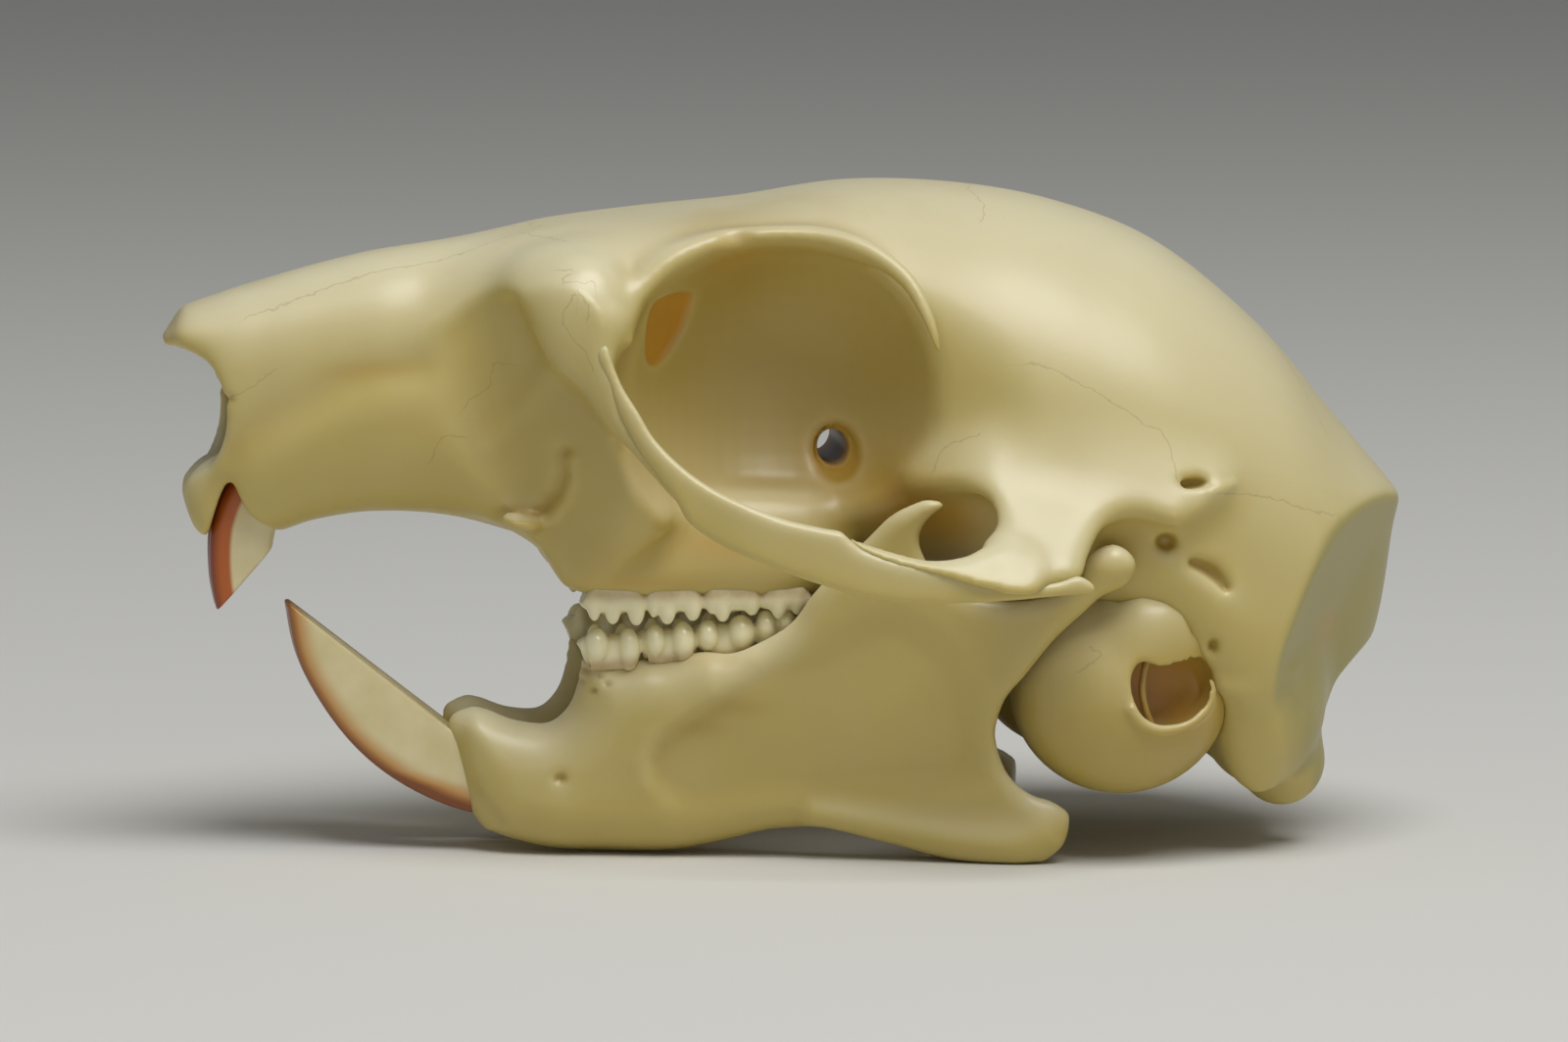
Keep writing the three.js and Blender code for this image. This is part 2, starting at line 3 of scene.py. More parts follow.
import bpy
import numpy as np
import openvdb as vdb
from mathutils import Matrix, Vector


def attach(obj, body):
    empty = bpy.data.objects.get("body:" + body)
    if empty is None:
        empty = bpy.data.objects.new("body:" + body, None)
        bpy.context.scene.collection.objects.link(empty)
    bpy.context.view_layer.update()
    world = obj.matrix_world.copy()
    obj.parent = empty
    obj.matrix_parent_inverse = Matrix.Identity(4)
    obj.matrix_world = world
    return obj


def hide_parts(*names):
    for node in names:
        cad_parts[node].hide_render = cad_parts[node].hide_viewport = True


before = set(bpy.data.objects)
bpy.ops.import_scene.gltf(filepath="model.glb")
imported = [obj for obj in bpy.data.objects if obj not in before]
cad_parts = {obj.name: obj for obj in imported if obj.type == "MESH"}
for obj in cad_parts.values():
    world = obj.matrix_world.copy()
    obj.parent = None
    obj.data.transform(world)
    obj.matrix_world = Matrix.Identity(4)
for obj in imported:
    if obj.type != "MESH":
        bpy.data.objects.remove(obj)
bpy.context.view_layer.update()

# Cranium: the thin-walled bones of snout, face, braincase and back of the head, which
# grow together along fine sutures. Cleaned and polished bone, rebuilt as one smooth skin.
# The drawing is in millimetres, left side only, and its zero lies 0.13 mm off the middle.
drawing_offset = (-0.13, 0.0, 0.0)
# How fine the cranium's skin is, and how far from a skin its distances are kept
bone_cell = 0.16
reach = 2.5


def skin(rings):
    """A closed skin over rings of points, gathered to one point at either end."""
    ends = np.repeat(rings[[0, -1]].mean(axis=1, keepdims=True), rings.shape[1], axis=1)
    rings = np.concatenate([ends[:1], rings, ends[1:]])
    number = np.arange(rings.shape[0] * rings.shape[1]).reshape(rings.shape[:2])
    turned = np.roll(number, -1, axis=1)
    quads = np.stack([number[:-1], number[1:], turned[1:], turned[:-1]], -1)
    return rings.reshape(-1, 3), quads.reshape(-1, 4)


def lower_of(a, b, blend):
    """The smaller of two distances, rounded where they meet over `blend` mm."""
    if np.isscalar(blend) and blend == 0:
        return np.minimum(a, b)
    h = np.clip(0.5 + 0.5 * (b - a) / blend, 0, 1)
    return b + (a - b) * h - blend * h * (1 - h)


class Clay:
    """Bone in the making: a grid of cells that each hold the distance in mm to the
    surface, negative inside. Shapes are pressed onto it or cut out of it, and `blend` is
    how far the two surfaces melt into each other."""

    def __init__(self, low, high, cell):
        self.cell = cell
        self.low = np.floor(np.array(low) / cell).astype(int)
        size = np.ceil(np.array(high) / cell).astype(int) - self.low + 1
        self.depth = np.full(size, reach, np.float32)

    def axes(self):
        grids = (np.arange(n, dtype=np.float32) for n in self.depth.shape)
        x, y, z = ((grid + start) * self.cell for grid, start in zip(grids, self.low))
        return x[:, None, None], y[None, :, None], z[None, None, :]

    def beyond(self, normal, point):
        """Distance in front of a plane."""
        length = math.sqrt(sum(n * n for n in normal))
        return sum((axis - p) * (n / length) for axis, n, p in zip(self.axes(), normal, point))

    def distances(self, shape, trims=()):
        points, quads = shape
        spare = reach + 2 * self.cell
        low = np.floor((points.min(0) - spare) / self.cell).astype(int)
        high = np.ceil((points.max(0) + spare) / self.cell).astype(int) + 1
        low = np.clip(low - self.low, 0, self.depth.shape)
        high = np.clip(high - self.low, low, self.depth.shape)
        region = tuple(slice(a, b) for a, b in zip(low, high))
        grid = vdb.FloatGrid.createLevelSetFromPolygons(
            points.astype(np.float32),
            quads=quads.astype(np.uint32),
            transform=vdb.createLinearTransform(self.cell),
            halfWidth=reach / self.cell,
        )
        found = np.empty(tuple(high - low), np.float32)
        grid.copyToArray(found, ijk=tuple(int(v) for v in low + self.low))
        for normal, point, blend in trims:
            found = -lower_of(-found, -self.beyond(normal, point)[region], blend)
        return region, found

    def add(self, shape, blend=0.0, trims=()):
        region, found = self.distances(shape, trims)
        self.depth[region] = lower_of(self.depth[region], found, blend)

    def add_leaf(self, outline, rows, blend=0.0, rounding=1.5):
        """Adds a leaf of bone with an outline in X and Z. Each row is [x, middle y,
        sideways lean, height where the lean starts, half thickness], and the edge is
        rounded over `rounding` times the half thickness."""
        region, edge = self.distances(plate(outline, -24.0, 6.0))
        x, y, z = (
            axis[tuple(part if n > 1 else slice(None) for part, n in zip(region, axis.shape))]
            for axis in self.axes()
        )
        columns = along_rows(rows, x.ravel())[:, 1:].T.astype(np.float32)
        middle, lean, start, half = (column[:, None, None] for column in columns)
        across = (np.abs(y - middle - lean * (z - start)) - half) / np.sqrt(1 + lean ** 2)
        found = -lower_of(-edge, -across, rounding * half)
        self.depth[region] = lower_of(self.depth[region], found, blend)

    def cut(self, shape, blend=0.0, trims=()):
        region, found = self.distances(shape, trims)
        self.depth[region] = -lower_of(-self.depth[region], found, blend)

    def cut_beyond(self, normal, point, blend=0.0):
        self.depth = -lower_of(-self.depth, -self.beyond(normal, point), blend)

    def soften(self, rounds):
        """Wears sharp edges a little, as cleaning and handling do."""
        for _ in range(rounds):
            for axis in range(3):
                last = self.depth.shape[axis] - 1
                ahead = np.take(self.depth, np.r_[1:last + 1, last], axis)
                behind = np.take(self.depth, np.r_[0, 0:last], axis)
                self.depth = 0.5 * self.depth + 0.25 * (ahead + behind)

    def surface(self, both_sides=False, whole=True):
        """Points and quads of the surface, with the right side as the left one's mirror.
        A `whole` one is a single shell."""
        depth = self.depth
        if both_sides:
            depth = np.concatenate([depth, depth[:, -2::-1]], axis=1)
        grid = vdb.FloatGrid(reach)
        grid.copyFromArray(np.ascontiguousarray(depth))
        points, quads = grid.convertToQuads(0.0)
        quads = quads.astype(np.int64)
        if whole:
            points, quads = largest_shell(points, quads)
        for _ in range(3):
            points = settle(points, depth)
        return (points + self.low) * self.cell, quads


def along_rows(rows, position):
    """Values that run smoothly through rows of [position, value, value, ...]."""
    table = np.array(rows, float)
    knots = table[:, 0]
    order = np.arange(len(knots))
    before, after = np.maximum(order - 1, 0), np.minimum(order + 1, len(knots) - 1)
    slopes = (table[after] - table[before]) / (knots[after] - knots[before])[:, None]
    i = np.clip(np.searchsorted(knots, position) - 1, 0, len(knots) - 2)
    span = (knots[i + 1] - knots[i])[:, None]
    t = np.clip((position - knots[i])[:, None] / span, 0, 1)
    h = t * t * (3 - 2 * t)
    lift = t * (1 - t) ** 2 * slopes[i] - t * t * (1 - t) * slopes[i + 1]
    return table[i] * (1 - h) + table[i + 1] * h + lift * span


def powered(value, exponent):
    """A power that keeps the sign."""
    return np.sign(value) * np.abs(value) ** exponent


def loft(rows, along=150, around=112):
    """Upright sections along X. Each row is [x, top, bottom, half width, height of the
    widest line, squareness above, squareness below, middle y, sideways lean]."""
    rows = [list(row) + [0.0] * (9 - len(row)) for row in rows]
    x = np.linspace(rows[0][0], rows[-1][0], along)
    columns = along_rows(rows, x).T[1:, :, None]
    top, low, half, wide, up, down, middle, lean = columns
    angle = np.linspace(0, 2 * math.pi, around, endpoint=False)[None, :]
    above = np.sin(angle) >= 0
    square = 2 / np.where(above, up, down)
    z = wide + np.where(above, top - wide, wide - low) * powered(np.sin(angle), square)
    y = middle + lean * (z - wide) + half * powered(np.cos(angle), square)
    return skin(np.stack([np.broadcast_to(x[:, None], z.shape), y, z], -1))


vault_rows = [
    [-29.8, 27.1, 17.6, 3.1, 24.0, 2.3, 2.2],
    [-28.2, 27.9, 16.5, 4.2, 24.0, 2.4, 2.3],
    [-25.8, 28.65, 15.95, 4.6, 24.0, 2.4, 2.5],
    [-23.5, 29.3, 16.6, 4.9, 24.0, 2.4, 2.6],
    [-20.5, 30.0, 17.0, 5.3, 24.2, 2.4, 2.6],
    [-16.5, 30.6, 16.7, 5.7, 24.5, 2.4, 2.6],
    [-11.5, 31.5, 15.2, 8.4, 28.2, 2.5, 1.9],
    [-7.0, 32.0, 14.0, 9.3, 29.0, 2.8, 2.1],
    [-2.0, 32.5, 13.9, 9.0, 29.4, 2.8, 2.0],
    [3.5, 33.35, 13.4, 10.2, 27.5, 2.4, 2.0],
    [9.0, 33.2, 12.0, 11.4, 22.5, 2.1, 2.2],
    [14.0, 32.25, 10.4, 12.3, 20.0, 2.0, 2.6],
    [19.0, 30.2, 8.2, 12.6, 18.0, 2.0, 3.0],
    [24.0, 26.15, 4.4, 12.0, 14.5, 2.1, 3.2],
    [28.0, 21.5, 3.2, 10.3, 12.5, 1.85, 2.8],
    [31.2, 17.7, 3.2, 7.7, 11.5, 2.0, 2.4],
]
skull = Clay((-32.2, -18.4, 1.0), (32.4, 0.0, 34.6), cell=bone_cell)
skull.add(loft(vault_rows))


def smooth_outline(outline, steps=8):
    """A closed outline in X and Z, smoothed through its corners."""
    corners = np.array(outline, float)
    t = np.linspace(0, 1, steps, endpoint=False)[None, :, None]
    p0, p1, p2, p3 = (np.roll(corners, shift, axis=0)[:, None] for shift in (1, 0, -1, -2))
    curve = p1 + 0.5 * t * (p2 - p0 + t * (2 * p0 - 5 * p1 + 4 * p2 - p3 + t * (3 * (p1 - p2) + p3 - p0)))
    return curve.reshape(-1, 2)


def plate(outline, near_y, far_y):
    """A plate with a smooth closed outline in X and Z and its depth along Y."""
    curve = smooth_outline(outline)
    rings = np.zeros((2, len(curve), 3))
    rings[:, :, 0], rings[:, :, 2] = curve[:, 0], curve[:, 1]
    rings[0, :, 1], rings[1, :, 1] = near_y, far_y
    return skin(rings)


def ovoid(centre, radii, pitch=0.0, around=56):
    """An ellipsoid, tilted about Y by `pitch` degrees."""
    polar = np.linspace(0, math.pi, around // 2)[1:-1, None]
    angle = np.linspace(0, 2 * math.pi, around, endpoint=False)[None, :]
    x = np.cos(polar) * np.ones_like(angle) * radii[0]
    y = np.sin(polar) * np.cos(angle) * radii[1]
    z = np.sin(polar) * np.sin(angle) * radii[2]
    turn = math.radians(pitch)
    rings = [x * math.cos(turn) + z * math.sin(turn), y, z * math.cos(turn) - x * math.sin(turn)]
    return skin(np.stack(rings, -1) + np.array(centre))


# The plate in front of the socket, with a ledge above it
cheek_plate_outline = [
    (-18.4, 24.0), (-17.0, 27.2), (-13.6, 29.4), (-10.4, 29.2), (-9.6, 26.6), (-8.9, 23.4),
    (-7.2, 20.4), (-5.8, 17.8), (-7.2, 15.8), (-9.2, 14.2), (-11.4, 14.0), (-12.6, 15.6), (-13.6, 16.6),
    (-15.4, 18.6),
]
cheek_trims = [
    ((-0.692, -0.662, -0.288), (-11.2, -10.9, 24.6), 0.5),
    ((-0.62, -0.69, 0.38), (-10.0, -10.6, 27.5), 1.0),
    ((0.08, -0.77, -0.64), (-9.0, -7.4, 13.8), 1.5),
]
ledge = ovoid((-11.4, -7.8, 28.3), (2.8, 2.4, 1.6))
skull.add(plate(cheek_plate_outline, -13.4, -3.6), blend=2.2, trims=cheek_trims)
skull.add(ledge, blend=2.3)
# The bed of the chewing muscle, sunk into the plate and the side of the snout
muscle_bed_outline = [
    (-20.5, 24.0), (-19.0, 26.4), (-17.3, 27.5), (-16.6, 28.0), (-15.8, 28.3), (-15.0, 28.5),
    (-14.2, 28.4), (-13.4, 28.0), (-12.9, 27.4), (-12.3, 26.4), (-11.5, 25.2), (-10.9, 24.1),
    (-10.1, 22.9), (-9.2, 21.5), (-8.3, 20.4), (-7.0, 18.9), (-5.6, 17.4), (-3.6, 16.0), (-3.6, 12.5),
    (-12.0, 12.5), (-15.0, 15.5), (-20.0, 18.0),
]
bed_trims = [
    ((0.713, 0.668, 0.215), (-10.5, -7.0, 14.4), 0.9),
    ((-0.12, 1, 0), (-15.0, -5.1, 0), 1.4),
]
skull.cut(plate(muscle_bed_outline, -16.0, -4.0), blend=0.3, trims=bed_trims)
# The eye socket and its floor, and behind it the hollow and the window for the temple muscle
eye_socket = ovoid((-1.1, -12.6, 22.9), (8.1, 9.3, 8.7))
temple_hollow = ovoid((4.6, -14.6, 22.5), (6.2, 4.4, 7.0))
socket_floor = ovoid((-0.4, -14.2, 15.0), (6.2, 7.0, 4.6))
arch_window = ovoid((5.8, -14.3, 15.3), (5.4, 4.8, 4.0))
skull.cut(temple_hollow, blend=2.2)
skull.cut(eye_socket, blend=1.0)
skull.cut(socket_floor, blend=1.8)
skull.cut(arch_window, blend=0.6)


def rod(rows, upright=(0, 0, 1), along=110, around=32, square=2.0):
    """A rod along a smooth curve. Each row is [x, y, z, half size in the plane of the
    curve and `upright`, half size across]."""
    rows = np.array(rows, float)
    steps = np.linalg.norm(np.diff(rows[:, :3], axis=0), axis=1) ** 0.5
    walk = np.concatenate([[0], np.cumsum(steps)])
    values = along_rows(np.column_stack([walk, rows]), np.linspace(0, walk[-1], along))[:, 1:]
    centre = values[:, :3]
    ahead = np.gradient(centre, axis=0)
    across = np.cross(ahead, upright)
    across /= np.linalg.norm(across, axis=1, keepdims=True)
    in_plane = np.cross(across, ahead)
    in_plane /= np.linalg.norm(in_plane, axis=1, keepdims=True)
    angle = np.linspace(0, 2 * math.pi, around, endpoint=False)
    tall = values[:, 3:4] * powered(np.sin(angle), 2 / square)
    broad = values[:, 4:5] * powered(np.cos(angle), 2 / square)
    rings = centre[:, None] + in_plane[:, None] * tall[..., None] + across[:, None] * broad[..., None]
    return skin(rings)


# The back of the head, cut off behind the neck crest, with the neck joints, the spur
# behind the ear and the blunt corner of bone where the neck crest ends
nape_normal, nape_point = (0.83, -0.46, -0.31), (31.7, 0, 14.6)
cap_normal, cap_point = (0.937, 0, -0.35), (30.2, 0, 12.2)
nape_swelling = ovoid((24.3, 0, 11.6), (5.9, 5.2, 7.6), 20.5)
neck_base = ovoid((23.6, -5.4, 7.4), (3.2, 4.2, 4.2))
neck_joint = ovoid((24.9, -4.2, 4.3), (2.2, 1.7, 2.3))
ear_spur_rows = [
    [22.4, -9.2, 9.4, 1.8, 2.2],
    [22.7, -8.5, 6.6, 1.5, 1.8],
    [23.0, -7.8, 4.6, 1.0, 1.3],
    [23.5, -7.4, 3.3, 0.45, 0.6],
]
ear_corner_rows = [
    [19.0, -10.4, 15.0, 1.6, 1.6],
    [20.6, -10.2, 12.4, 1.8, 1.7],
    [21.3, -10.2, 10.0, 1.4, 1.7],
    [21.1, -10.6, 8.6, 0.8, 1.3],
]
skull.cut_beyond(nape_normal, nape_point, blend=0.3)
skull.cut_beyond(cap_normal, cap_point, blend=1.5)
skull.add(nape_swelling, blend=1.6)
skull.add(neck_base, blend=1.6)
skull.add(neck_joint, blend=0.8)
skull.add(rod(ear_spur_rows, (0, 1, 0)), blend=0.9)
skull.add(rod(ear_corner_rows, (0, 1, 0)), blend=1.6)
# The snout, scooped out below the nose bones, and its tip in front of the gnawing teeth
nasal_rows = [
    [-31.0, 25.85, 25.4, 1.5, 25.6, 2, 2],
    [-30.2, 26.75, 25.35, 2.9, 25.9, 2.2, 2],
    [-29.3, 27.1, 25.1, 3.3, 25.8, 2.2, 2],
    [-28.2, 26.9, 24.6, 3.1, 25.6, 2.2, 2],
    [-26.8, 26.4, 24.0, 2.6, 25.2, 2.2, 2],
]
nose_notch = ovoid((-31.6, 0, 22.2), (4.0, 9.0, 4.2))
snout_tip = ovoid((-28.5, -1.3, 17.7), (1.4, 1.5, 2.0))
skull.cut(nose_notch, blend=0.3)
skull.add(loft(nasal_rows), blend=1.2)
skull.add(snout_tip, blend=0.8)
# The ridge that holds the upper cheek teeth, and the thin wings of bone behind the palate
upper_gum_rows = [
    [-11.2, 16.6, 13.7, 0.9, 15.0, 2, 2, -5.0, 0],
    [-9.8, 17.6, 13.15, 1.7, 15.2, 2.4, 2.8, -5.4, 0],
    [-4.0, 18.3, 13.15, 1.9, 15.4, 2.2, 2.8, -5.5, 0],
    [0.6, 18.2, 13.15, 1.8, 15.4, 2.2, 2.8, -5.4, 0],
    [2.9, 17.4, 13.8, 1.0, 15.4, 2, 2, -5.0, 0],
]
pterygoid_rows = [
    [1.6, 16.0, 13.6, 0.9, 15.0, 2, 2, -3.1, 0],
    [4.5, 17.0, 13.0, 0.6, 14.5, 2, 2, -3.0, -0.1],
    [8.0, 16.0, 12.0, 0.5, 13.6, 2, 2, -3.0, -0.1],
    [10.4, 14.0, 10.8, 0.4, 12.4, 2, 2, -3.1, -0.1],
]
skull.add(loft(upper_gum_rows), blend=1.0)
skull.add(loft(pterygoid_rows), blend=0.6)
# The brow over the socket, its spur behind and the small notch in it
brow_rows = [
    [-9.0, -10.4, 27.0, 0.5, 0.5],
    [-8.1, -9.9, 28.5, 0.4, 0.5],
    [-6.2, -9.3, 30.15, 0.35, 0.5],
    [-3.4, -8.8, 31.15, 0.3, 0.5],
    [0.4, -9.1, 31.3, 0.35, 0.5],
    [2.9, -10.2, 30.7, 0.5, 0.5],
    [4.9, -11.7, 29.3, 0.45, 0.4],
    [5.9, -12.7, 27.5, 0.35, 0.33],
    [6.45, -13.2, 25.7, 0.2, 0.2],
]
brow_notch = ovoid((-3.2, -9.9, 31.3), (0.95, 1.0, 0.6))
skull.add(rod(brow_rows), blend=1.3)
skull.cut(brow_notch, blend=0.3)
# The front of the cheek arch, down to where the cheek bone takes over
arch_front_outline = [
    (-13.6, 28.3), (-12.0, 26.0), (-11.2, 24.6), (-9.8, 22.5), (-8.3, 20.6), (-6.9, 19.0), (-5.2, 17.3),
    (-4.6, 16.9), (-5.5, 18.2), (-6.6, 19.5), (-7.9, 21.1), (-8.9, 22.7), (-9.6, 24.3), (-10.1, 26.0),
    (-10.0, 27.6), (-11.4, 28.6),
]
arch_side_rows = [
    [-13.6, -8.9, 0.0, 0.0, 0.6], [-11.2, -10.5, 0.0, 0.0, 0.6], [-9.8, -11.4, 0.0, 0.0, 0.6],
    [-8.3, -12.3, 0.0, 0.0, 0.55], [-6.9, -13.1, 0.0, 0.0, 0.55], [-5.2, -13.8, 0.0, 0.0, 0.55],
    [-3.3, -14.6, 0.0, 0.0, 0.6], [-1.5, -15.1, 0.0, 0.0, 0.6], [0.9, -15.7, 0.0, 0.0, 0.6],
    [3.2, -16.1, 0.0, 0.0, 0.6], [6.0, -16.5, 0.0, 0.0, 0.55], [9.0, -16.7, 0.0, 0.0, 0.5],
    [13.8, -16.4, 0.0, 0.0, 0.45],
]
front_rows = [[row[0], row[1] + 0.1, *row[2:]] for row in arch_side_rows]
skull.add_leaf(arch_front_outline, front_rows, blend=0.6, rounding=0.8)
# The swelling where the arch leaves the face, with its three small knobs
skull.add(ovoid((-10.9, -9.6, 27.2), (1.7, 1.4, 2.2)), blend=1.8)
skull.add(ovoid((-9.6, -10.7, 26.7), (0.8, 0.8, 1.3)), blend=0.6)
skull.add(ovoid((-8.9, -10.4, 27.4), (0.5, 0.5, 0.35)), blend=0.2)
skull.add(ovoid((-8.8, -10.6, 26.3), (0.5, 0.5, 0.4)), blend=0.2)
# The root of the arch, and the tongue that it sends forward over the cheek bone
arch_root_outline = [
    (8.2, 16.3), (8.95, 17.3), (8.75, 18.4), (7.6, 18.85), (6.4, 18.95), (5.7, 19.3), (7.4, 20.4),
    (9.6, 21.4), (12.0, 21.6), (15.0, 21.2), (18.0, 20.2), (20.2, 19.2), (19.4, 18.2), (18.1, 17.3),
    (17.2, 17.5), (16.2, 17.75), (15.2, 17.55), (14.4, 16.9), (13.7, 15.9), (13.1, 14.8), (11.8, 14.5),
    (10.2, 14.45), (8.8, 14.6), (8.1, 15.2),
]
arch_root_rows = [
    [5.2, -8.8, 0.3, 19.0, 0.8], [7.2, -10.8, 0.6, 19.0, 0.9], [8.8, -12.4, 0.95, 19.0, 0.8],
    [10.4, -12.4, 1.0, 19.0, 1.0], [13.0, -12.3, 1.0, 19.0, 1.1], [15.0, -12.3, 0.95, 19.0, 1.1],
    [18.0, -12.2, 0.9, 19.0, 0.9], [19.6, -12.1, 0.9, 19.0, 0.7],
]
arch_tongue_outline = [
    (1.3, 17.3), (2.4, 16.8), (4.5, 16.15), (5.8, 15.95), (7.3, 16.1), (8.4, 16.5), (9.6, 16.6),
    (10.8, 16.0), (10.6, 14.5), (8.8, 14.55), (7.6, 14.8), (6.4, 15.15), (4.9, 15.5), (3.7, 15.8),
    (2.5, 16.25), (1.8, 16.7),
]
arch_tongue_rows = [
    [1.0, -16.1, 0.85, 16.9, 0.3], [4.4, -16.6, 0.85, 15.9, 0.45], [7.2, -16.8, 0.9, 15.6, 0.6],
    [10.8, -16.4, 0.95, 15.2, 0.9],
]
skull.add_leaf(arch_root_outline, arch_root_rows, blend=2.2)
skull.add_leaf(arch_tongue_outline, arch_tongue_rows, blend=0.8, rounding=0.7)
# The knob below the slit for the nerve of the snout, and the pits and the slot round the ear
nerve_knob = ovoid((-13.7, -6.2, 17.0), (0.9, 0.7, 0.4), 8)
upper_pit = ovoid((18.9, -12.75, 19.15), (0.85, 0.5, 0.28), -5)
middle_pit = ovoid((17.75, -12.6, 16.25), (0.55, 0.8, 0.46), 10)
lower_pit = ovoid((20.2, -12.2, 11.0), (0.26, 1.0, 0.5))
slot_rows = [
    [18.9, -12.8, 15.3, 0.3, 0.8],
    [20.0, -12.8, 14.8, 0.42, 0.9],
    [20.9, -12.8, 13.8, 0.26, 0.8],
]
skull.add(nerve_knob, blend=1.2)
skull.cut(upper_pit, blend=0.35)
skull.cut(middle_pit, blend=0.25)
skull.cut(rod(slot_rows), blend=0.3)
skull.cut(lower_pit, blend=0.15)
# The bed of the hearing capsule, a little smaller than the capsule, so that they join
bulla_centre, bulla_radii = (16.1, -8.3, 8.6), (5.5, 4.7, 5.3)
bed_depth = 0.08
skull.cut(ovoid(bulla_centre, [r - bed_depth for r in bulla_radii]))
# Openings: nose, spinal cord, brain, optic nerve and the sockets of the gnawing teeth
nose_space = ovoid((-26.0, 0, 23.0), (6.5, 3.4, 3.3))
spinal_opening = ovoid((28.2, 0, 7.2), (7.5, 3.5, 3.1), 10)
brain_space = ovoid((16.8, 0, 19.6), (9.0, 10.2, 9.4))
optic_hole = rod([[2.2, -9.0, 20.3, 0.85, 0.7], [2.2, 1.0, 20.3, 0.85, 0.7]])
tooth_socket_outline = [
    (-28.95, 15.4), (-28.6, 17.0), (-28.15, 18.4), (-27.75, 18.9), (-27.4, 18.3),
    (-26.9, 17.25), (-26.2, 16.6), (-25.4, 15.95), (-25.6, 14.0), (-29.0, 14.0),
]
skull.cut(nose_space, blend=0.3)
skull.cut(spinal_opening, blend=0.4)
skull.cut(brain_space)
skull.cut(optic_hole, blend=0.2)
skull.cut(plate(tooth_socket_outline, -9.0, -0.15), blend=0.15)
skull.soften(1)


def largest_shell(points, quads):
    """Drops loose bits and closed bubbles: only the shell with the most points stays."""
    label = np.arange(len(points))
    while True:
        lowest = label[quads].min(axis=1)
        fresh = label.copy()
        np.minimum.at(fresh, quads.ravel(), np.repeat(lowest, 4))
        fresh = fresh[fresh]
        if np.array_equal(fresh, label):
            break
        label = fresh
    main = np.bincount(label).argmax()
    keep = label == main
    number = np.cumsum(keep) - 1
    return points[keep], number[quads[keep[quads[:, 0]]]]


def settle(points, depth):
    """Moves points of a surface onto the place where the distance is zero."""
    corner = np.clip(np.floor(points).astype(int), 0, np.array(depth.shape) - 2)
    f = points - corner
    value = np.zeros(len(points))
    slope = np.zeros((len(points), 3))
    for step in np.ndindex(2, 2, 2):
        weight = np.where(np.array(step), f, 1 - f)
        sign = np.where(np.array(step), 1.0, -1.0)
        here = depth[tuple((corner + step).T)]
        value += here * weight.prod(axis=1)
        for axis in range(3):
            others = np.delete(weight, axis, axis=1).prod(axis=1)
            slope[:, axis] += here * sign[axis] * others
    steep = np.maximum((slope ** 2).sum(axis=1), 1e-6)
    return points - np.clip(value / steep, -0.6, 0.6)[:, None] * slope * 0.8


def facing(points, quads):
    """The outward direction at each point."""
    across = np.cross(points[quads[:, 2]] - points[quads[:, 0]], points[quads[:, 3]] - points[quads[:, 1]])
    corner = quads.ravel()
    total = [np.bincount(corner, np.repeat(side, 4), len(points)) for side in across.T]
    total = np.stack(total, -1)
    return total / np.maximum(np.linalg.norm(total, axis=1, keepdims=True), 1e-12)


def evened(values, quads, rounds):
    """Averages a value at each point with those of its neighbours."""
    a, b = quads.ravel(), np.roll(quads, -1, axis=1).ravel()
    count = np.bincount(a, minlength=len(values)) + np.bincount(b, minlength=len(values))
    for _ in range(rounds):
        total = [
            np.bincount(a, column[b], len(column)) + np.bincount(b, column[a], len(column))
            for column in values.T
        ]
        values = 0.4 * values + 0.6 * np.stack(total, -1) / count[:, None]
    return values


def path_distance(points, path):
    """Distance to a path drawn in X and Z, negative on its left."""
    path = np.array(path, float)
    x, z = points[:, 0], points[:, 2]
    best = np.full(len(points), 1e3)
    side = np.ones(len(points))
    for (ax, az), (bx, bz) in zip(path[:-1], path[1:]):
        dx, dz = bx - ax, bz - az
        t = np.clip(((x - ax) * dx + (z - az) * dz) / (dx * dx + dz * dz), 0, 1)
        away = np.hypot(x - ax - t * dx, z - az - t * dz)
        nearer = away < best
        best = np.where(nearer, away, best)
        side = np.where(nearer, np.where((x - ax) * dz - (z - az) * dx > 0, 1.0, -1.0), side)
    return best * side


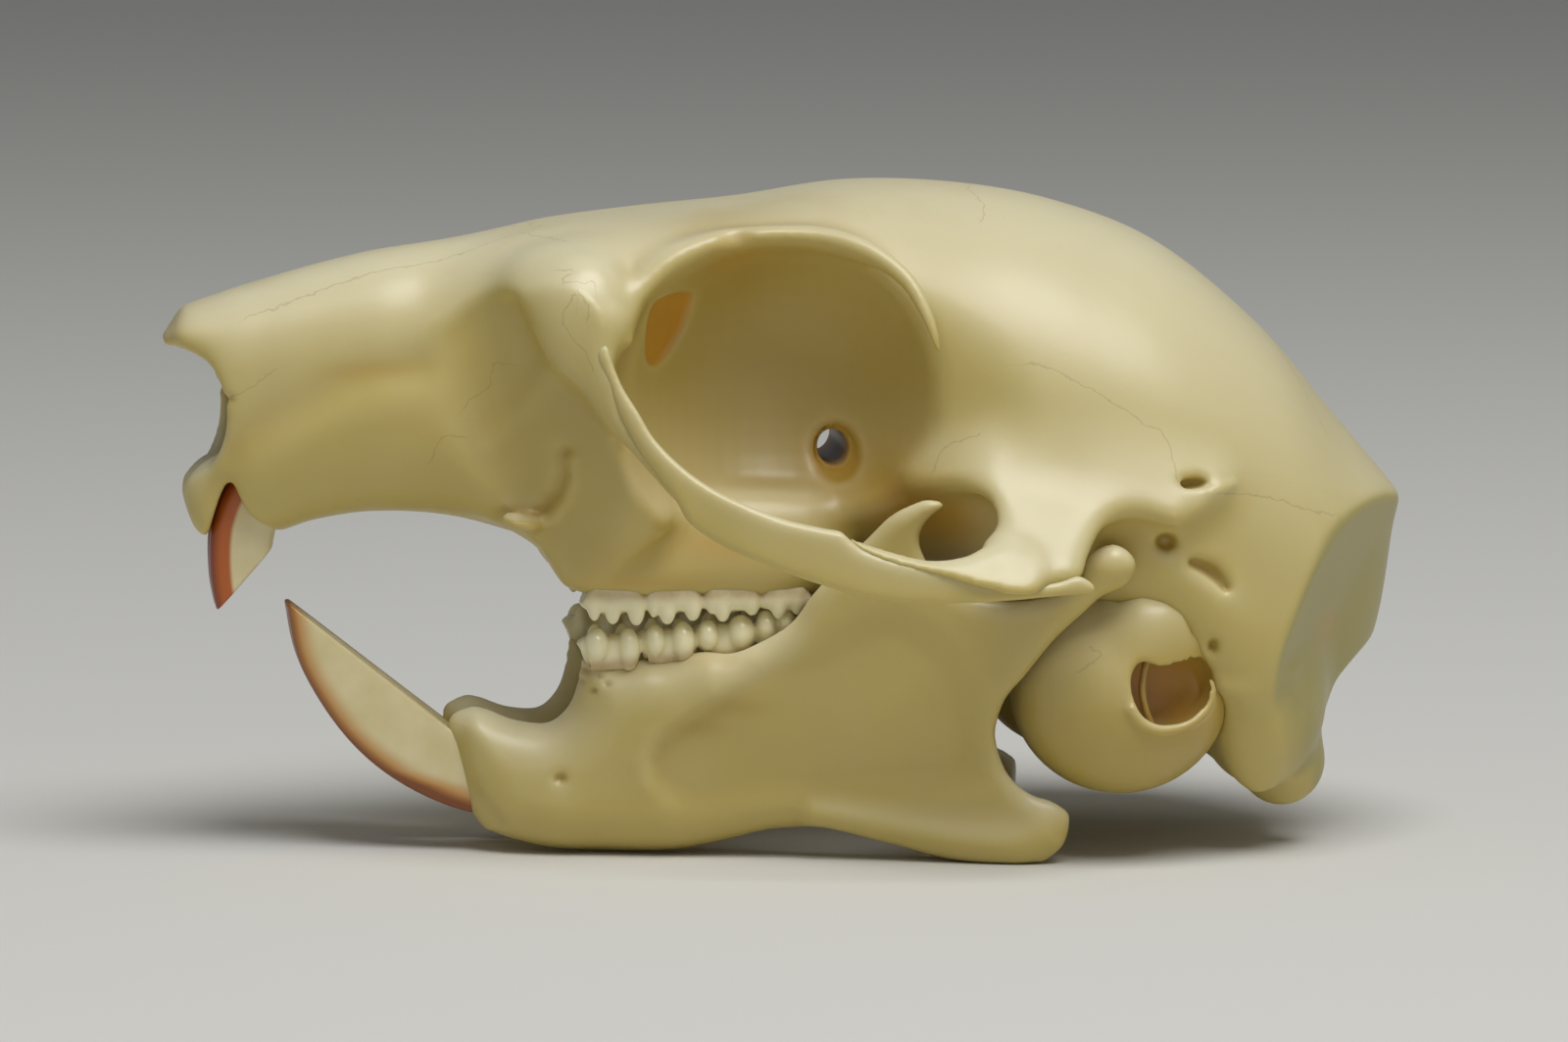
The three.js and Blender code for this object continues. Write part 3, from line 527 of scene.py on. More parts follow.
class Sculpt:
    """A surface that is worked on: strokes raise or press it, and marks colour it.
    Strokes are drawn in X and Z on the outer side, alike on left and right."""

    def __init__(self, surface):
        self.points, self.quads = surface
        self.points = evened(self.points, self.quads, 3)
        self.normals = facing(self.points, self.quads)
        self.marks = {}
        self.update()

    def update(self):
        side = np.where(self.points[:, 1] > 0, -1.0, 1.0)
        self.left = self.points * np.stack([np.ones_like(side), side, np.ones_like(side)], -1)
        self.outward = np.clip(-2.5 * side * self.normals[:, 1] + 0.2, 0, 1)

    def stroke(self, path, width, height, near=-99.0, far=0.0, any_side=False):
        """Raises a soft ridge, or presses a groove where the height is negative."""
        away = path_distance(self.left, path)
        amount = np.exp(-(away / width) ** 2)
        amount *= (self.left[:, 1] > near) & (self.left[:, 1] < far)
        if not any_side:
            amount *= self.outward
        self.points = self.points + self.normals * (height * amount)[:, None]
        self.update()

    def spot(self, centre, radii, height):
        """Raises a soft swelling, or presses a hollow."""
        away = ((self.left - np.array(centre)) / np.array(radii)) ** 2
        amount = height * np.exp(-away.sum(axis=1))
        self.points = self.points + self.normals * amount[:, None]
        self.update()

    def patch(self, outline, soft, height=0.0, name="ochre", amount=0.0, near=-99.0, far=0.0):
        """Presses or raises an area drawn in X and Z, and stains it by `amount`."""
        corners = smooth_outline(outline, 4)
        corners = np.concatenate([corners, corners[:1]])
        away = np.abs(path_distance(self.left, corners))
        within = np.zeros(len(away), bool)
        for (ax, az), (bx, bz) in zip(corners[:-1], corners[1:]):
            level = (az > self.left[:, 2]) != (bz > self.left[:, 2])
            within ^= level & (self.left[:, 0] < ax + (self.left[:, 2] - az) * (bx - ax) / (bz - az or 1.0))
        share = np.clip(0.5 + np.where(within, away, -away) / soft, 0, 1)
        share = share * share * (3 - 2 * share) * self.outward
        share *= (self.left[:, 1] > near) & (self.left[:, 1] < far)
        self.points = self.points + self.normals * (height * share)[:, None]
        self.marks[name] = self.marks.get(name, np.zeros(len(self.points))) + amount * share
        self.update()

    def tint(self, name, rows):
        """Adds soft stains: rows of [x, y, z, radius x, radius y, radius z, amount]."""
        total = self.marks.get(name, np.zeros(len(self.points)))
        for row in rows:
            away = ((self.left - np.array(row[:3])) / np.array(row[3:6])) ** 2
            total = total + row[6] * np.exp(-away.sum(axis=1))
        self.marks[name] = total

    def sutures(self, paths, from_above=False):
        """Marks how far each point is from the nearest suture, for the fine line there.
        Those seen from above are drawn in X and Y."""
        line = self.marks.get("suture", np.full(len(self.points), 1.0))
        seen = self.normals[:, 2] > 0.45 if from_above else self.outward > 0.2
        drawn = self.left[:, [0, 2, 1]] if from_above else self.left
        for path in paths:
            away = np.where(seen, np.clip(path_distance(drawn, path), -1, 1), 1.0)
            line = np.where(np.abs(away) < np.abs(line), away, line)
        self.marks["suture"] = line

    def hollows(self, rounds=24, scale=0.25):
        """Marks hollow places, where dirt gathers and shade is painted, above 0.5 and edges
        below, and marks as painted light how far each place faces up, to be coloured paler."""
        lifted = evened(self.points, self.quads, rounds) - self.points
        bend = (lifted * self.normals).sum(axis=1) / scale
        self.marks["hollow"] = np.clip(0.5 + 0.5 * bend, 0, 1)
        uppermost = evened(self.normals, self.quads, rounds)[:, 2]
        self.marks["painted_light"] = np.clip(0.15 + 1.0 * uppermost, 0, 1)

    def piece(self, name, material, mirrored=False):
        """The finished object, in metres, or its mirror for the other side."""
        points, quads = self.points + np.array(drawing_offset), self.quads
        if mirrored:
            points, quads = points * np.array([1, -1, 1]), quads[:, ::-1]
        mesh = bpy.data.meshes.new(name)
        mesh.from_pydata(points * 0.001, [], quads)
        for mark, values in self.marks.items():
            layer = mesh.attributes.new(mark, "FLOAT", "POINT")
            layer.data.foreach_set("value", values.astype(np.float32))
        mesh.polygons.foreach_set("use_smooth", np.ones(len(quads), bool))
        mesh.materials.append(material)
        made = bpy.data.objects.new(name, mesh)
        bpy.context.scene.collection.objects.link(made)
        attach(made, "root")
        return made


head = Sculpt(skull.surface(both_sides=True))
# The nerve slit and the rim behind it, the folds of plate and snout, the ridge behind the pit
nerve_slit = [(-11.6, 20.4), (-11.5, 19.4), (-11.8, 18.4), (-12.3, 17.6), (-13.0, 17.2), (-14.4, 17.2)]
slit_rim = [(-11.2, 20.2), (-11.1, 19.2), (-11.4, 18.1), (-12.0, 17.2), (-13.0, 16.8)]
snout_groove = [
    (-27.8, 20.6), (-27.2, 21.1), (-26.2, 21.8), (-24.5, 22.7), (-22.4, 23.8), (-20.8, 24.4), (-18.6, 24.8),
]
plate_fold = [(-12.2, 24.6), (-13.4, 22.6), (-15.2, 20.8)]
pit_ridge = [(19.8, 18.75), (20.4, 19.0), (21.0, 19.1)]
snout_swelling = [(-26.9, 18.4), (-26.0, 20.0), (-24.3, 21.2), (-22.0, 22.3), (-19.0, 23.0)]
head.stroke(nerve_slit, width=0.42, height=-0.28)
head.stroke(slit_rim, width=0.35, height=0.22)
head.stroke(plate_fold, width=0.7, height=0.12)
head.stroke(snout_groove, width=1.1, height=-0.22)
head.stroke(snout_swelling, width=1.2, height=0.12)
head.spot((-27.9, -3.5, 23.0), (0.3, 2.0, 0.25), height=-0.25)
head.stroke(pit_ridge, width=0.25, height=0.15)
# The thin window of amber bone high in the socket, and the stained rim of the optic hole
amber_window = [
    (-7.4, 26.7), (-7.1, 27.9), (-6.1, 28.3), (-5.1, 28.1), (-5.3, 26.7), (-5.8, 25.7),
    (-6.7, 24.7), (-7.3, 25.0),
]
optic_rim = [(2.2 + 1.1 * math.cos(a), 20.2 + 1.4 * math.sin(a)) for a in np.linspace(0, 6.0, 20)]
head.patch(amber_window, soft=0.35, height=-0.25, name="amber", amount=0.9)
head.patch(optic_rim, soft=0.8, height=-0.25, amount=0.5)
head.sutures([
    [(10.9, 25.0), (11.6, 25.0), (12.3, 24.7), (13.1, 24.2), (14.1, 23.8), (15.1, 23.2),
     (16.1, 22.6), (16.7, 22.1), (17.5, 21.8), (17.8, 21.1), (18.0, 20.4), (18.2, 19.4)],
    [(-14.1, 24.8), (-14.9, 24.75), (-15.0, 24.1), (-15.1, 23.5), (-16.0, 23.0), (-16.3, 22.6)],
    [(-16.3, 21.15), (-17.4, 21.2), (-17.7, 20.5), (-18.0, 19.9)],
    [(-11.2, 28.8), (-11.6, 28.2), (-11.9, 27.6), (-11.8, 27.0), (-11.3, 26.3),
     (-10.7, 25.7), (-10.4, 24.9)],
    [(-11.15, 28.8), (-10.9, 28.5), (-10.7, 28.2), (-10.68, 27.4)],
    [(-12.0, 29.7), (-11.4, 29.7), (-11.8, 29.2), (-11.0, 29.3), (-10.9, 29.1),
     (-10.4, 29.3), (-10.3, 28.95)],
    [(20.2, 18.7), (21.6, 18.6), (23.0, 18.4), (24.7, 17.7), (26.4, 17.3)],
    [(-27.7, 23.1), (-27.0, 23.5), (-26.3, 24.0), (-25.7, 24.4)],
    [(8.6, 21.55), (7.4, 21.1), (6.7, 20.5), (6.4, 19.7)],
])
head.sutures([
    [(-30.8, 0.0), (-12.4, 0.0), (9.6, 0.0), (25.2, 0.0)],
    [(-12.4, 0.0), (-12.7, -1.2), (-12.2, -2.2), (-13.2, -3.0), (-17.0, -3.1),
     (-22.0, -3.3), (-27.0, -3.6)],
    [(-13.2, -3.0), (-12.8, -4.2), (-12.0, -5.6), (-11.4, -7.0)],
    [(9.6, 0.0), (9.2, -2.2), (9.8, -4.4), (9.4, -6.0)],
    [(25.2, 0.0), (24.6, -2.0), (25.3, -4.2), (26.6, -6.4)],
], from_above=True)
head.hollows()
head.tint("ochre", [
    [-1.1, -7.0, 22.9, 7.0, 5.0, 8.0, 0.55],
    [-3.0, -6.5, 29.6, 3.4, 3.0, 2.4, 0.55],
    [4.2, -8.5, 18.4, 2.6, 3.0, 2.8, 0.6],
    [7.2, -8.5, 17.2, 2.6, 2.6, 2.0, 0.3],
    [17.75, -12.2, 16.2, 0.5, 0.8, 0.5, 0.7],
    [20.0, -12.2, 14.8, 0.9, 0.8, 0.6, 0.3],
    [15.6, -10.5, 15.8, 2.2, 2.6, 1.5, 0.4],
    [-12.6, -8.0, 20.0, 4.0, 4.0, 4.0, 0.25],
    [-9.5, -7.6, 15.2, 2.0, 2.0, 1.6, 0.3],
    [-30.0, 0.0, 26.5, 1.6, 3.0, 1.2, 0.4],
    [-20.5, -5.0, 24.6, 2.8, 2.0, 0.5, 0.3],
    [-27.8, -3.0, 19.0, 0.8, 2.5, 3.0, 0.3],
    [6.5, -13.3, 25.4, 0.4, 0.6, 1.0, 0.9],
])
head.tint("amber", [
    [2.2, -3.0, 19.7, 1.5, 3.0, 1.3, 0.55],
    [5.0, -8.6, 17.4, 1.8, 2.4, 1.6, 0.4],
    [7.4, -9.4, 17.2, 1.8, 2.0, 1.8, 0.45],
    [-3.2, -8.0, 30.1, 1.6, 1.2, 0.9, 0.3],
    [-21.5, -5.0, 24.3, 2.0, 1.4, 0.4, 0.18],
    [-3.6, -7.6, 15.9, 2.2, 2.4, 0.8, 0.35],
    [26.9, -8.0, 11.2, 0.8, 3.0, 1.0, 0.35],
    [-7.0, -6.5, 14.0, 3.0, 2.4, 0.4, 0.3],
])
# Painted light: the swelling where the arch leaves the face, and a place deep under the root of the arch, are
# coloured paler as if lit.
head.tint("painted_light", [
    [-11.0, -9.6, 27.0, 2.0, 2.0, 2.0, 0.4],
    [9.6, -8.6, 14.2, 2.6, 3.4, 2.6, 0.9],
])
# Painted shade: the bone below and behind the neck crest, facing back, is coloured a darker grey-olive, as if
# turned away from the light
facing_back = np.clip((head.normals[:, 0] - 0.52) / 0.2, 0, 1)
not_upward = np.clip((0.35 - head.normals[:, 2]) / 0.2, 0, 1)
far_back = np.clip((head.points[:, 0] - 20.5) / 2.0, 0, 1)
behind_crest = facing_back * not_upward * far_back
head.marks["painted_nape_shade"] = 0.75 * evened(behind_crest[:, None], head.quads, 4)[:, 0]


def hex_colour(code):
    """An sRGB hex colour as the linear values that a shader takes."""
    parts = [int(code[i:i + 2], 16) / 255 for i in (1, 3, 5)]
    return [p / 12.92 if p <= 0.04045 else ((p + 0.055) / 1.055) ** 2.4 for p in parts] + [1.0]


def add_node(tree, kind, inputs=None, **settings):
    """Adds a node with its settings, and sets or links each of its inputs."""
    made = tree.nodes.new(kind)
    for name, value in settings.items():
        setattr(made, name, value)
    for name, value in (inputs or {}).items():
        if isinstance(value, bpy.types.NodeSocket):
            tree.links.new(value, made.inputs[name])
        else:
            made.inputs[name].default_value = value
    return made


def bare_material(name):
    """A material with an empty node tree, and the place on the object in metres."""
    material = bpy.data.materials.new(name)
    material.use_nodes = True
    tree = material.node_tree
    tree.nodes.clear()
    return material, tree, add_node(tree, "ShaderNodeTexCoord").outputs["Object"]


def polished_bone(name, pale, warm, roughness):
    """Dried, degreased bone, polished by handling. It gives a soft cream sheen with light
    that sinks in a little. Its colour carries painted light, palest where it faces up and
    warmer where it faces sideways or down, turns ochre in hollows for dirt and painted shade,
    greyer where shade is painted behind the neck crest, and amber where it is thinnest."""
    material, tree, place = bare_material(name)
    cloud_mm, grain_mm, zigzag_mm = 6.25, 0.385, 0.556
    marks = ("ochre", "hollow", "suture", "painted_light", "amber", "painted_nape_shade")
    ochre, hollow, suture, painted_light, amber, painted_nape_shade = (
        add_node(tree, "ShaderNodeAttribute", attribute_name=mark).outputs["Fac"] for mark in marks)
    cloud = add_node(tree, "ShaderNodeTexNoise", {"Vector": place, "Scale": 1000 / cloud_mm, "Detail": 4.0})
    grain = add_node(tree, "ShaderNodeTexNoise", {"Vector": place, "Scale": 1000 / grain_mm, "Detail": 3.0})
    drifting = add_node(tree, "ShaderNodeMath", {0: cloud.outputs["Fac"], 1: 0.6, 2: -0.3},
                        operation="MULTIPLY_ADD")
    # Painted light: paler where the surface faces up, warmer where it faces sideways or down, with a slow
    # random drift.
    top = add_node(tree, "ShaderNodeMath", {0: painted_light, 1: drifting.outputs[0]},
                   operation="ADD", use_clamp=True)
    base = add_node(tree, "ShaderNodeMix", {
        "Factor": top.outputs[0], 6: hex_colour(warm), 7: hex_colour(pale),
    }, data_type="RGBA")
    # Ochre stains, and dirt with painted shade in the hollows, darken the colour towards ochre.
    hollow_part = add_node(tree, "ShaderNodeMapRange", {"Value": hollow, 1: 0.45, 2: 0.9})
    stain_and_shade = add_node(tree, "ShaderNodeMath", {0: ochre, 1: hollow_part.outputs[0]}, operation="ADD")
    stain_and_shade = add_node(tree, "ShaderNodeMath", {0: stain_and_shade.outputs[0], 1: drifting.outputs[0]},
                     operation="ADD", use_clamp=True)
    # Mixed in turn: ochre for stains, dirt and painted shade in hollows; grey-olive painted shade behind the
    # neck crest; amber where the bone is thinnest.
    for part, colour in ((stain_and_shade.outputs[0], "#B69A48"), (painted_nape_shade, "#A0985A"), (amber, "#CF962A")):
        part = add_node(tree, "ShaderNodeMath", {0: part, 1: 0.0}, operation="ADD", use_clamp=True)
        base = add_node(tree, "ShaderNodeMix", {
            "Factor": part.outputs[0], 6: base.outputs[2], 7: hex_colour(colour),
        }, data_type="RGBA")
    wiggle = add_node(tree, "ShaderNodeTexNoise", {"Vector": place, "Scale": 1000 / zigzag_mm, "Detail": 2.0})
    wander = add_node(tree, "ShaderNodeMath", {0: wiggle.outputs["Fac"], 1: 0.5, 2: -0.25},
                      operation="MULTIPLY_ADD")
    moved = add_node(tree, "ShaderNodeMath", {0: suture, 1: wander.outputs[0]}, operation="ADD")
    away = add_node(tree, "ShaderNodeMath", {0: moved.outputs[0]}, operation="ABSOLUTE")
    line = add_node(tree, "ShaderNodeMapRange", {"Value": away.outputs[0], 1: 0.0, 2: 0.06, 3: 0.32, 4: 0.0})
    lined = add_node(tree, "ShaderNodeMix", {
        "Factor": line.outputs[0], 6: base.outputs[2], 7: hex_colour("#8A7040"),
    }, data_type="RGBA")
    bump = add_node(tree, "ShaderNodeBump", {
        "Height": grain.outputs["Fac"], "Strength": 0.12, "Distance": 0.00004,
    })
    gloss = add_node(tree, "ShaderNodeMapRange", {
        "Value": cloud.outputs["Fac"], 3: roughness - 0.06, 4: roughness + 0.08,
    })
    shader = add_node(tree, "ShaderNodeBsdfPrincipled", {
        "Base Color": lined.outputs[2], "Roughness": gloss.outputs[0], "Normal": bump.outputs[0],
        "IOR": 1.55, "Subsurface Weight": 0.3, "Subsurface Radius": (1.0, 0.7, 0.35),
        "Subsurface Scale": 0.0009,
    })
    add_node(tree, "ShaderNodeOutputMaterial", {"Surface": shader.outputs[0]})
    return material


bone = polished_bone("polished_bone", "#E4DCB8", "#C8B569", 0.36)
cranium = head.piece("cranium", bone)
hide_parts("rostrum", "face", "braincase", "occiput")

# Cheek bones: a thin curved strap of bone on either side, from the plate in front of the
# eye socket back under the tongue of the arch root. Same polished bone.
cheek_bone_outline = [
    (-10.3, 25.6), (-9.75, 24.3), (-9.3, 23.0), (-8.8, 22.0), (-8.2, 20.95), (-7.4, 19.85),
    (-6.5, 18.6), (-5.9, 17.6), (-4.4, 16.55), (-1.9, 15.5), (0.9, 14.55), (3.25, 14.0), (6.1, 13.85),
    (9.0, 13.95), (11.8, 14.15), (13.7, 14.35), (12.9, 15.1), (11.8, 14.85), (10.2, 14.72),
    (8.8, 14.85), (7.6, 15.1), (6.4, 15.45), (4.9, 15.75), (3.7, 16.0), (2.4, 16.45), (1.75, 16.9),
    (1.25, 17.35), (0.6, 17.45), (-1.45, 17.9), (-3.3, 18.6), (-4.7, 19.25), (-6.15, 20.25),
    (-7.5, 21.6), (-8.3, 22.95), (-9.0, 24.1), (-9.45, 25.2), (-9.8, 26.2),
]
strap_rows = [[row[0], row[1] - 0.15, *row[2:]] for row in arch_side_rows]
strap = Clay((-11.2, -18.4, 12.6), (14.8, -9.0, 27.4), cell=0.12)
strap.add_leaf(cheek_bone_outline, strap_rows, blend=0.0, rounding=0.6)
strap.soften(1)
cheek = Sculpt(strap.surface())
# No suture crosses the strap
cheek.sutures([])
cheek.hollows()
for side, mirrored in (("left", False), ("right", True)):
    made = cheek.piece(f"cheek_bone_{side}", bone, mirrored)
    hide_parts(f"zygomatic_arch_{side}")

# Hearing capsules: thin bubbles of bone under the back of the skull, each with a round
# ear opening whose lip is thin and uneven.
thin_bone = polished_bone("thin_polished_bone", "#DED5AC", "#BCA758", 0.34)
ear_outline = [
    (16.75, 10.35), (17.6, 10.05), (18.7, 10.2), (19.6, 9.4), (19.9, 8.5), (19.4, 7.8), (18.7, 7.35),
    (17.45, 7.25), (16.6, 7.7), (16.15, 8.5), (16.0, 9.5), (16.3, 10.2),
]
ear_lip_rows = [
    [19.75, -11.6, 9.7, 0.2, 0.25], [20.1, -11.75, 8.9, 0.24, 0.3], [19.9, -11.95, 8.1, 0.2, 0.3],
    [19.3, -12.3, 7.5, 0.26, 0.3], [18.4, -12.6, 7.1, 0.2, 0.3], [17.4, -12.85, 7.0, 0.25, 0.3],
    [16.5, -12.95, 7.4, 0.2, 0.3], [15.95, -13.0, 8.2, 0.2, 0.25],
]
# The thin hoop of bone that shows inside the ear opening
hoop_rows = [
    [17.9, -10.6, 12.0, 0.3, 0.3], [17.0, -11.2, 10.2, 0.3, 0.2], [16.75, -11.4, 8.8, 0.3, 0.2],
    [17.1, -11.2, 7.4, 0.3, 0.2], [17.9, -10.6, 5.8, 0.3, 0.3],
]
air_space = ovoid((17.4, -11.1, 8.8), (3.0, 1.7, 2.6))
upper_swelling = ovoid((17.4, -10.7, 11.7), (2.2, 1.9, 2.1))
bubble = Clay((9.6, -14.2, 2.4), (22.8, -2.6, 15.6), cell=0.12)
bubble.add(ovoid(bulla_centre, bulla_radii))
bubble.add(upper_swelling, blend=1.2)
bubble.add(rod(ear_lip_rows, (0, 1, 0)), blend=0.3)
bubble.cut(air_space)
bubble.cut(plate(ear_outline, -16.0, -10.0), blend=0.15)
bubble.add(rod(hoop_rows, (0, 1, 0)), blend=0.3)
bulla = Sculpt(bubble.surface())
bulla.stroke([(19.4, 11.8), (18.9, 12.9), (17.9, 13.5), (16.7, 13.8), (15.6, 13.4)], width=0.3, height=-0.2)
bulla.sutures([[(14.1, 11.0), (14.5, 10.75), (14.1, 10.35), (13.45, 9.9)]])
bulla.hollows()
bulla.tint("ochre", [[12.0, -8.0, 7.5, 1.6, 4.0, 3.0, 0.2], [17.6, -9.8, 8.8, 2.8, 1.7, 2.4, 1.1]])
bulla.tint("amber", [[17.6, -9.8, 8.8, 2.8, 1.7, 2.4, 0.9]])
for side, mirrored in (("left", False), ("right", True)):
    made = bulla.piece(f"hearing_capsule_{side}", thin_bone, mirrored)
    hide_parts(f"auditory_bulla_{side}")

# Lower jaw: two halves that meet on the midline in front. Each is stout where it holds
# the gnawing tooth and thins to a tall leaf behind. Same polished bone.
jaw_outline = [
    (-16.9, 6.7), (-15.9, 7.4), (-15.0, 7.3), (-14.0, 6.9), (-13.1, 6.7), (-12.0, 6.7), (-11.2, 7.4),
    (-10.8, 8.3), (-10.6, 9.4), (-10.35, 10.1), (-9.0, 9.85), (-7.4, 10.05), (-6.2, 9.95),
    (-4.6, 10.45), (-3.2, 10.4), (-2.0, 10.9), (-0.4, 12.0), (0.8, 13.8), (3.0, 16.3), (4.2, 17.6),
    (5.2, 18.2), (6.1, 18.5), (7.0, 18.2), (6.3, 17.6), (5.8, 16.8), (5.9, 15.8), (6.9, 14.3),
    (8.8, 13.5), (11.2, 13.5), (13.3, 14.2), (14.2, 15.5), (15.1, 16.2), (16.1, 15.4), (15.8, 14.4),
    (14.6, 13.6), (13.8, 12.8), (12.4, 11.4), (11.0, 9.5), (10.1, 8.3), (9.7, 6.8), (9.9, 5.6),
    (10.4, 4.5), (11.5, 3.5), (12.7, 2.95), (13.3, 2.45), (13.1, 1.5), (12.3, 0.6), (11.2, 0.05),
    (10.2, 0.0), (8.5, 0.1), (6.8, 0.4), (5.1, 0.9), (3.7, 1.2), (2.0, 1.5), (0.4, 1.4), (-1.3, 1.2),
    (-3.0, 0.7), (-4.6, 0.3), (-6.3, 0.05), (-9.9, 0.0), (-11.8, 0.1), (-13.3, 0.4), (-14.8, 0.9),
    (-15.7, 1.9), (-16.3, 3.2), (-16.7, 4.7),
]
jaw_side_rows = [
    [-16.9, -2.1, 0.0, 5.0, 1.5], [-16.0, -2.3, 0.0, 5.0, 1.9], [-14.4, -2.6, 0.0, 4.0, 2.1],
    [-11.8, -3.2, 0.0, 4.0, 2.3], [-9.8, -3.8, -0.1, 4.4, 2.15], [-7.0, -4.5, -0.1, 4.6, 2.0],
    [-3.5, -5.4, -0.15, 5.0, 1.75], [-0.6, -6.7, -0.2, 6.5, 1.35], [1.2, -7.6, -0.25, 7.5, 1.0],
    [5.0, -8.8, -0.25, 7.5, 0.75], [9.7, -10.2, -0.22, 7.0, 0.7], [13.5, -11.2, -0.22, 8.0, 0.75],
    [16.0, -11.5, -0.22, 8.0, 0.8],
]
lower_edge_rows = [
    [1.0, -7.2, 2.3, 0.2, 0.2], [4.5, -7.8, 1.7, 0.5, 0.6], [8.0, -8.7, 1.2, 0.75, 0.9],
    [10.8, -9.3, 1.1, 0.9, 1.1], [12.2, -9.7, 1.75, 0.65, 0.8],
]
joint_ball = ovoid((14.9, -12.7, 15.15), (1.0, 1.05, 0.85))
chin_hole = ovoid((-11.6, -5.6, 4.0), (0.4, 0.6, 0.28), -15)
jaw_clay = Clay((-17.8, -14.6, -0.6), (16.8, 0.6, 19.4), cell=0.14)
jaw_clay.add_leaf(jaw_outline, jaw_side_rows)
jaw_clay.add(joint_ball, blend=0.8)
jaw_clay.add(rod(lower_edge_rows), blend=1.4)
jaw_clay.cut(chin_hole, blend=0.2)
jaw_clay.cut_beyond((0, 0, -1), (0, 0, 0.02), blend=0.1)
jaw_clay.cut_beyond((0, 1, 0), (0, -0.1, 0), blend=0.2)
jaw_clay.soften(1)
jaw = Sculpt(jaw_clay.surface())
# The V-shaped ridge in front of the chewing muscle's bed, the bed itself, the lip round
# the gnawing tooth and the rough edge below the first cheek tooth
ridge = [
    (-0.45, 10.8), (-2.2, 9.95), (-4.2, 8.3), (-5.9, 7.1), (-7.1, 6.1), (-7.5, 5.05), (-7.3, 3.85),
    (-6.3, 2.8), (-4.9, 2.4), (-2.2, 2.2),
]
jaw_bed_outline = [
    (0.5, 10.6), *ridge[1:-1], (-2.2, 2.9), (1.0, 3.2), (5.0, 3.6), (8.6, 4.6), (8.4, 8.0),
    (7.0, 10.8), (4.0, 12.4),
]
tooth_lip = [(-17.0, 6.9), (-17.1, 5.5), (-16.9, 4.0), (-16.2, 2.6), (-15.1, 1.3)]
jaw.patch(jaw_bed_outline, soft=2.2, height=-0.42)
jaw.stroke(ridge[1:-2], width=0.7, height=0.18)
jaw.stroke(ridge[2:-3], width=0.6, height=0.12)
jaw.stroke(tooth_lip, width=0.35, height=0.15, any_side=True)
jaw.stroke([(-16.3, 6.7), (-16.4, 5.4), (-16.2, 4.1), (-15.5, 2.9), (-14.5, 1.7)], width=0.35, height=-0.1)
jaw.stroke([(11.4, 3.9), (12.4, 3.1), (13.1, 2.5), (13.1, 1.3), (12.1, 0.2)], width=0.35, height=0.15)
for x, z in ((-10.3, 9.4), (-10.5, 8.8), (-10.0, 8.4), (-9.7, 9.2), (-9.3, 8.8)):
    jaw.spot((x, -5.6, z), (0.22, 1.5, 0.18), height=-0.2)
# No suture crosses the jaw half
jaw.sutures([])
jaw.hollows()
# Painted shade: the ochre along the lower edge and just inside the V-shaped ridge colours these places
# darker, as if out of the light.
jaw.tint("ochre", [
    [-9.0, -6.0, 9.5, 2.5, 2.0, 0.5, 0.5],
    [-5.0, -6.5, 10.0, 3.0, 2.0, 0.5, 0.35],
    [-4.6, -7.0, 6.6, 1.3, 2.0, 0.5, 0.4],
    [-2.6, -7.0, 7.7, 1.3, 2.0, 0.5, 0.5],
    [-3.0, -5.0, 0.8, 12.0, 4.0, 1.6, 0.2],
    [13.0, -10.0, 1.4, 1.0, 2.0, 1.4, 0.3],
])
for side, mirrored in (("left", False), ("right", True)):
    made = jaw.piece(f"half_jaw_{side}", bone, mirrored)
    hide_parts(f"dentary_{side}")

# Cheek teeth: four to a row, set in the gum ridge. The outer walls of the upper ones end
# in small pointed cusps, and the lower ones swell into rounded pillars. Glossy enamel.
upper_crowns = [(-10.3, -7.5), (-7.42, -4.68), (-4.52, -1.8), (-1.62, 0.75)]
upper_cusps = [
    (-9.95, 11.98, 0.36), (-9.03, 11.8, 0.42), (-7.86, 11.72, 0.44), (-7.0, 12.1, 0.3),
    (-6.32, 11.76, 0.46), (-5.05, 11.92, 0.46), (-4.12, 12.25, 0.3), (-3.56, 11.85, 0.44),
    (-2.1, 12.15, 0.44), (-0.75, 11.95, 0.44), (0.15, 12.15, 0.34),
]
lower_pillars = [
    (-9.75, 10.65, 0.62, 0.9), (-8.16, 10.45, 0.56, 1.1), (-6.85, 10.85, 0.54, 0.85),
    (-5.45, 10.78, 0.62, 1.05), (-4.2, 11.1, 0.56, 0.8), (-2.54, 11.22, 0.7, 0.9),
    (-1.29, 11.55, 0.54, 0.8), (-0.33, 11.83, 0.5, 0.7),
]
lower_crowns = [(-10.4, -7.62), (-7.52, -4.78), (-4.7, -1.9), (-1.82, 0.4)]


